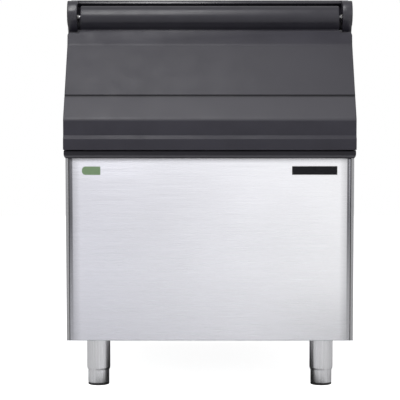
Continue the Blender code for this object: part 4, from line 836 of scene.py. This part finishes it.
plug_in, plug_out = FRAME_OUTER - CAP_PLUG, FRAME_OUTER + CAP_EDGE
plug = np.array([[0, plug_in], [CAP_PLUG_RADIUS, plug_in], [CAP_PLUG_RADIUS, plug_out],
                 [0, plug_out]])
for side, sign in (("right", 1), ("left", -1)):
    cap = joined(f"{side}_domed_cap", [
        turned("dome", cap_profile() * (1, sign), (0, axis_y, ear_z), "x", cap_plastic, 96, 50.0),
        turned("plug", plug * (1, sign), (0, axis_y, axis_z), "x", cap_plastic, 48),
    ])
    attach(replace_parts(cap, f"{side}_pin_cap"), "cabinet")
    bush = smoothed_copy(f"{side}_bushing", f"{side}_bush", nylon)
    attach(bush, "cabinet")
dress(["left_hinge_pin", "right_hinge_pin"], pin_steel)


# Door: one hollow charcoal moulding, with a handle lip and ledge below, a bend, a groove across the
# slope and a shoulder, and above them the roll that it hangs and turns on. A pale inner pan closes
# its back over the foam.

LIP_TOP, LEDGE_TOP = 0.6673, 0.6763
LIP_ROUND, LEDGE_ROUND, LOWER_BEND, UPPER_BEND, SHOULDER_ROUND = 0.0010, 0.0006, 0.016, 0.018, 0.003
LOWER_BEND_RISE = 0.0025
GROOVE_Z, GROOVE_WIDTH, GROOVE_DEEP, GROOVE_ROUND = 0.7778, 0.0092, 0.0032, 0.0006
DOOR_HALF, DOOR_END_ROUND, DOOR_WALL = 0.3853, 0.0023, 0.003
NORMAL_REACH, NORMAL_STEP = 0.0040, 0.0005
SHOULDER_DROP, SHOULDER_CORNER, SHOULDER_DROP_FROM = 0.004, 0.006, 0.925
SHOULDER_STEP = np.array([0.0018, 0.0030])
ROLL_RADIUS, ROLL_HALF, ROLL_END_ROUND, ROLL_LIP = 0.0296, 0.3512, 0.004, 0.0004
PLUG_RADIUS, PLUG_BORE, PLUG_INNER, PLUG_IN, PLUG_ROUND = 0.0255, 0.0082, 0.330, 0.0006, 0.001
NECK_WALL, NECK_LAP, NECK_ROOT_ROUND, NECK_END_ROUND = 0.0014, 0.006, 0.0015, 0.001
NECK_FOOT_INSET, NECK_FOOT_RISE, NECK_FOOT_ROUND = 0.0008, 0.0022, 0.0032
# Painted light: the slope paler, and its lower part below the groove paler still.
SLOPE_PAINTED_LIGHT, LOWER_SLOPE_PAINTED_LIGHT = (0.0473, 0.0459, 0.0540), (0.063, 0.0613, 0.0710)
# A painted shade inside the groove.
GROOVE_PAINTED_SHADE = (0.0100, 0.0095, 0.0125)
ABOVE_BEND = ("Z", 0.0, 0.6, 0.7130, 0.7185)
# Each tone of painted light or shade on the door, with its ramps (axis, first share, last share,
# start, end).
DOOR_PAINTED_LIGHT_AND_SHADE = [
    (SLOPE_PAINTED_LIGHT, ABOVE_BEND, ("Z", 1.0, 0.0, 0.9050, 0.9150)),
    (LOWER_SLOPE_PAINTED_LIGHT, ABOVE_BEND, ("Z", 1.0, 0.0, 0.7750, 0.7785)),
    (GROOVE_PAINTED_SHADE, ("Z", 0.0, 0.8, GROOVE_Z - 0.0038, GROOVE_Z - 0.0030),
     ("Z", 1.0, 0.0, GROOVE_Z + 0.0034, GROOVE_Z + 0.0042)),
]


def along_slope(away, deep):
    """A point on the slope, so far up from the groove and so deep into the door."""
    y = face_depth + (GROOVE_Z - FACE_TOP_Z) * np.tan(SLOPE_LEAN)
    return (y + np.sin(SLOPE_LEAN) * away + np.cos(SLOPE_LEAN) * deep,
            GROOVE_Z + np.cos(SLOPE_LEAN) * away - np.sin(SLOPE_LEAN) * deep)


def averaged_normals(line, reach):
    """Directions into the door along a line: square to it, averaged with a bell curve."""
    length = np.concatenate([[0], np.cumsum(np.linalg.norm(np.diff(line, axis=0), axis=1))])
    even = np.arange(0, length[-1] + NORMAL_STEP, NORMAL_STEP)
    dense = np.stack([np.interp(even, length, line[:, part]) for part in (0, 1)], axis=1)
    run = np.gradient(dense, axis=0)
    normal = np.stack([run[:, 1], -run[:, 0]], axis=1) / np.linalg.norm(run, axis=1, keepdims=True)
    count = int(3 * reach / NORMAL_STEP)
    bell = np.exp(-0.5 * (np.arange(-count, count + 1) * NORMAL_STEP / reach) ** 2)
    padded = np.pad(normal, ((count, count), (0, 0)), mode="edge")
    soft = np.stack([np.convolve(padded[:, part], bell, mode="valid") for part in (0, 1)], axis=1)
    at_points = np.stack([np.interp(length, even, soft[:, part]) for part in (0, 1)], axis=1)
    return at_points / np.linalg.norm(at_points, axis=1, keepdims=True)


def door_stations():
    """Where the door's side line is drawn along X, with its inset and the drop of its top there.

    Over the last DOOR_END_ROUND the inset is radius x (1 - sqrt(1 - share^2)), and over the last
    SHOULDER_CORNER the drop is radius x (1 - cos(angle)): a quarter circle each. Beyond the roll
    the top also stands SHOULDER_DROP lower.
    """
    angle = np.linspace(0, np.pi / 2, 13)
    end_x = DOOR_HALF - SHOULDER_CORNER * (1 - np.sin(angle))
    corner = SHOULDER_CORNER * (1 - np.cos(angle))
    past = np.clip(1 - (DOOR_HALF - end_x) / DOOR_END_ROUND, 0, 1)
    end_in = DOOR_END_ROUND * (1 - np.sqrt(1 - past ** 2))
    step_x, no_step = ROLL_HALF + SHOULDER_STEP, np.zeros(2)
    stations = np.concatenate([-end_x[::-1], -step_x[::-1], step_x, end_x])
    insets = np.concatenate([end_in[::-1], no_step, no_step, end_in])
    drop = np.concatenate([corner[::-1], no_step, no_step, corner])
    return stations, insets, drop + np.where(np.abs(stations) > step_x[0], SHOULDER_DROP, 0)


def door_surface(profile, stations, insets, drop):
    """Points of the door's outer face: at each station, profile + inward direction x (inset less
    the groove's depth) - up along the shoulder x drop x share of the way up to the top edge."""
    inward = averaged_normals(profile, NORMAL_REACH)
    inward[0], inward[-1] = (0, 1), (-np.sin(TOP_LEAN), -np.cos(TOP_LEAN))
    from_groove = profile - along_slope(0, 0)
    beside = np.abs(from_groove @ (np.sin(SLOPE_LEAN), np.cos(SLOPE_LEAN)))
    deep = from_groove @ (np.cos(SLOPE_LEAN), -np.sin(SLOPE_LEAN))
    deep = np.where(beside < GROOVE_WIDTH, deep, 0)
    drawn_in = np.maximum(insets[:, None] - np.maximum(deep, 0), 0)
    section = profile[None] + inward[None] * drawn_in[..., None]
    above = (profile[:, 1] - SHOULDER_DROP_FROM) / (SHOULDER_Z - SHOULDER_DROP_FROM)
    lowered = (drop[:, None] * np.clip(above, 0, 1))[..., None]
    section = section - lowered * (np.sin(TOP_LEAN), np.cos(TOP_LEAN))
    along = np.broadcast_to(stations[:, None, None], (*section.shape[:2], 1))
    return np.concatenate([along, section], axis=-1)


back_line = moved_in(door_line, DOOR_THICK)
groove = [(*along_slope(share * GROOVE_WIDTH, deep), GROOVE_ROUND) for share, deep in (
    (-1 / 2, 0), (-1 / 4, GROOVE_DEEP), (1 / 4, GROOVE_DEEP), (1 / 2, 0))]
profile = rounded_line([
    (back_line[0, 0], door_low.z, 0), (door_low.y, door_low.z, LIP_ROUND),
    (door_low.y, LIP_TOP, LIP_ROUND), (face_depth, LEDGE_TOP, LEDGE_ROUND),
    (face_depth, FACE_TOP_Z + LOWER_BEND_RISE, LOWER_BEND), *groove,
    (*door_line[2], UPPER_BEND), (*door_line[3], SHOULDER_ROUND), (*back_line[3], 0),
], arc_steps=10)
points = door_surface(profile, *door_stations())
rows, count = points.shape[:2]
back_bends = [[x, *back_line[index]] for x in (-DOOR_HALF, DOOR_HALF) for index in (2, 1)]
first_bend = rows * count
last_row = first_bend - count
faces = grid_faces(rows, count)
faces.append([*range(count)][::-1] + [first_bend + 1, first_bend])
faces.append([*range(last_row, first_bend)] + [first_bend + 2, first_bend + 3])
door_plastic = toned(charcoal("door_plastic", 0.42, 0.24, 1.15), DOOR_PAINTED_LIGHT_AND_SHADE)
points = np.concatenate([points.reshape(-1, 3), back_bends])
shell = smooth_piece("door_shell", points, faces, door_plastic, COPY_CREASE)
wall = shell.modifiers.new("wall", "SOLIDIFY")
wall.thickness = DOOR_WALL
wall.offset = -1
wall.use_quality_normals = True
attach(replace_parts(shell, "door_skin"), "door")

# ... the roll with its end plugs, and the neck that joins it to the slab: the neck's back runs up
# from its foot as a tangent to the roll
end_radius, end_round = ROLL_RADIUS - ROLL_END_ROUND, ROLL_END_ROUND - ROLL_LIP
tube = rounded_line([(end_radius, -ROLL_HALF, 0), (ROLL_RADIUS, -ROLL_HALF, end_round),
                     (ROLL_RADIUS, ROLL_HALF, end_round), (end_radius, ROLL_HALF, 0)], closed=True)
roll_plastic = charcoal("roll_plastic", 0.35, 0.37, 0.95)
roll = turned("door_roll", tube, (0, axis_y, axis_z), "x", roll_plastic, 96)
foot_front, foot_top = shoulder_y + NECK_FOOT_INSET, SHOULDER_Z + NECK_FOOT_RISE
neck_back, neck_top = back_line[3, 0], axis_z - ROLL_RADIUS / 2
root = np.array([neck_back - NECK_WALL, foot_top])
to_axis = np.array([axis_y, axis_z]) - root
distance = np.linalg.norm(to_axis)
lean = np.arctan2(to_axis[1], to_axis[0]) + np.arcsin(ROLL_RADIUS / distance)
touch = root + np.sqrt(distance ** 2 - ROLL_RADIUS ** 2) * np.array([np.cos(lean), np.sin(lean)])
neck = rounded_line([
    (foot_front, SHOULDER_Z - NECK_LAP, 0), (foot_front, foot_top, NECK_FOOT_ROUND),
    (*root, NECK_ROOT_ROUND), (*touch, 0), (touch[0], neck_top, 0), (neck_back, neck_top, 0),
    (neck_back, back_line[3, 1] - CLEARANCE, 0),
], closed=True)
stations, insets = rounded_ends(-ROLL_HALF, ROLL_HALF, NECK_END_ROUND, 2)
neck_piece = carried("door_neck", neck, stations, insets, "x", roll_plastic)
roll = joined("door_roll", [roll, neck_piece])
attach(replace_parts(roll, "door_skin"), "door")
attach(smoothed_copy("door_liner", "door_inner_pan", moulded_pale("pan_plastic")), "door")
plug_plastic = charcoal("plug_plastic", 0.45)
plug_end = ROLL_HALF - PLUG_IN
outline = rounded_line([
    (PLUG_BORE, PLUG_INNER, 0), (PLUG_RADIUS, PLUG_INNER, PLUG_ROUND),
    (PLUG_RADIUS, plug_end, PLUG_ROUND), (PLUG_BORE, plug_end, 0),
], closed=True)
for side, sign in (("left", -1), ("right", 1)):
    plug = turned(f"{side}_end_plug", outline * (1, sign), (0, axis_y, axis_z), "x",
                  plug_plastic, 64)
    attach(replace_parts(plug, f"{side}_roll_plug"), "door")


# Studio: a white floor that keeps a faint shadow, a white surround, one large soft lamp high on the
# left, a weaker one on the right and a soft one overhead. The camera stands where the photograph's
# camera stood.

FLOOR_RADIUS, FLOOR_SINK, FLOOR_STEPS = 4.0, 0.0002, 128
FLOOR_WHITE = (0.80, 0.80, 0.80)
FLOOR_GLOW, FLOOR_SHINE, FLOOR_PAINTED_SHADE = 0.91, 0.08, 0.03
UNDER_BIN_SIDE, UNDER_BIN_FRONT = (0.29, 0.34), (face_y - 0.04, face_y + 0.04)
SKY_DIFFUSE, SKY_SHINE, SKY_BEHIND, SKY_TURN = 0.42, 0.92, 0.60, (0.0, 0.6)
CAMERA_PLACE = (0.0, face_y - 4.8, 0.975)
CAMERA_PITCH = np.radians(90 - 5.601)
# Each lamp: place, the point it shines at, size and watts.
LAMPS = {
    "key_lamp": ((-0.7, -2.4, 2.75), (0, -0.2, 0.8), 1.1, 39),
    "top_lamp": ((-0.35, -1.4, 3.4), (0, -0.3, 0.8), 1.1, 27),
    "fill_lamp": ((2.4, -3.4, 1.6), (0, -0.2, 0.5), 1.6, 18),
}


def mirrored_rays(tree):
    """The light path's outputs, and a value that is 1 on mirrored and transmitted rays."""
    paths = tree.nodes.new("ShaderNodeLightPath").outputs
    return paths, maths(tree, "MAXIMUM", paths["Is Glossy Ray"], paths["Is Transmission Ray"])


def white_surround():
    """The world: white to the camera; a soft grey sky that lights the bin; brighter in mirrors."""
    world = bpy.data.worlds.new("studio")
    bpy.context.scene.world = world
    world.use_nodes = True
    tree = world.node_tree
    ground = tree.nodes["Background"]
    paths, mirrored = mirrored_rays(tree)
    heading = tree.nodes.new("ShaderNodeSeparateXYZ")
    facing = tree.nodes.new("ShaderNodeTexCoord").outputs["Generated"]
    tree.links.new(facing, heading.inputs["Vector"])
    ahead = carry(tree, heading.outputs["Y"], SKY_SHINE, SKY_SHINE * SKY_BEHIND, *SKY_TURN)
    lit = maths(tree, "MAXIMUM", maths(tree, "MULTIPLY", mirrored, ahead),
                carry(tree, mirrored, SKY_DIFFUSE, 0.0, 0.0, 1.0))
    strength = maths(tree, "MAXIMUM", paths["Is Camera Ray"], lit)
    ground.inputs["Color"].default_value = (1, 1, 1, 1)
    tree.links.new(strength, ground.inputs["Strength"])


def white_floor():
    """A round floor: matt white with a glow that shows to the camera, with a painted shadow under
    the bin that shows in mirrors, and clear from below."""
    made, tree, shader = finish("studio_floor", FLOOR_WHITE, 0.9)
    shader.inputs["Specular IOR Level"].default_value = 0.0
    shader.inputs["Emission Color"].default_value = (1, 1, 1, 1)
    paths, mirrored = mirrored_rays(tree)
    open_side = carry(tree, place_along(tree, "aside"), 0.0, 1.0, *UNDER_BIN_SIDE)
    open_front = carry(tree, place_along(tree, "Y"), 1.0, 0.0, *UNDER_BIN_FRONT)
    open_floor = maths(tree, "MAXIMUM", open_side, open_front)
    # In mirrors the floor under the bin is tinted dark: a painted shadow.
    painted_shadow = maths(tree, "MULTIPLY", mirrored, carry(tree, open_floor, 1.0, 0.0, 0.0, 1.0))
    tree.links.new(tint(tree, painted_shadow, FLOOR_WHITE, (FLOOR_PAINTED_SHADE,) * 3), shader.inputs["Base Color"])
    glow = maths(tree, "MULTIPLY", paths["Is Camera Ray"], FLOOR_GLOW)
    shine = maths(tree, "MULTIPLY", maths(tree, "MULTIPLY", mirrored, open_floor), FLOOR_SHINE)
    tree.links.new(maths(tree, "ADD", glow, shine), shader.inputs["Emission Strength"])
    facing = tree.nodes.new("ShaderNodeNewGeometry").outputs["Backfacing"]
    tree.links.new(carry(tree, facing, 1.0, 0.0, 0.0, 1.0), shader.inputs["Alpha"])
    angle = np.linspace(0, 2 * np.pi, FLOOR_STEPS, endpoint=False)
    points = np.stack([FLOOR_RADIUS * np.cos(angle), FLOOR_RADIUS * np.sin(angle),
                       np.full(FLOOR_STEPS, -FLOOR_SINK)], axis=-1)
    mesh = bpy.data.meshes.new("studio_floor")
    mesh.from_pydata(points.tolist(), [], [list(range(FLOOR_STEPS))])
    mesh.materials.append(made)
    floor = placed("studio_floor", mesh)


def soft_lamp(name, place, aim, size, power):
    """A square area lamp at a place, turned to shine at a point."""
    data = bpy.data.lights.new(name, "AREA")
    data.size = size
    data.energy = power
    lamp = placed(name, data)
    lamp.visible_camera = False
    lamp.location = place
    heading = np.array(aim) - np.array(place)
    lamp.rotation_euler = (np.arccos(-heading[2] / np.linalg.norm(heading)), 0,
                           np.arctan2(heading[1], heading[0]) - np.pi / 2)


white_surround()
white_floor()
for name, settings in LAMPS.items():
    soft_lamp(name, *settings)

lens = bpy.data.cameras.new("photo_camera")
lens.lens = 164.25
lens.sensor_width = 36
lens.shift_x = -0.0246
camera = placed("photo_camera", lens)
camera.location = CAMERA_PLACE
camera.rotation_euler = (CAMERA_PITCH, 0, 0)
bpy.context.scene.camera = camera
bpy.context.scene.view_settings.view_transform = "Standard"
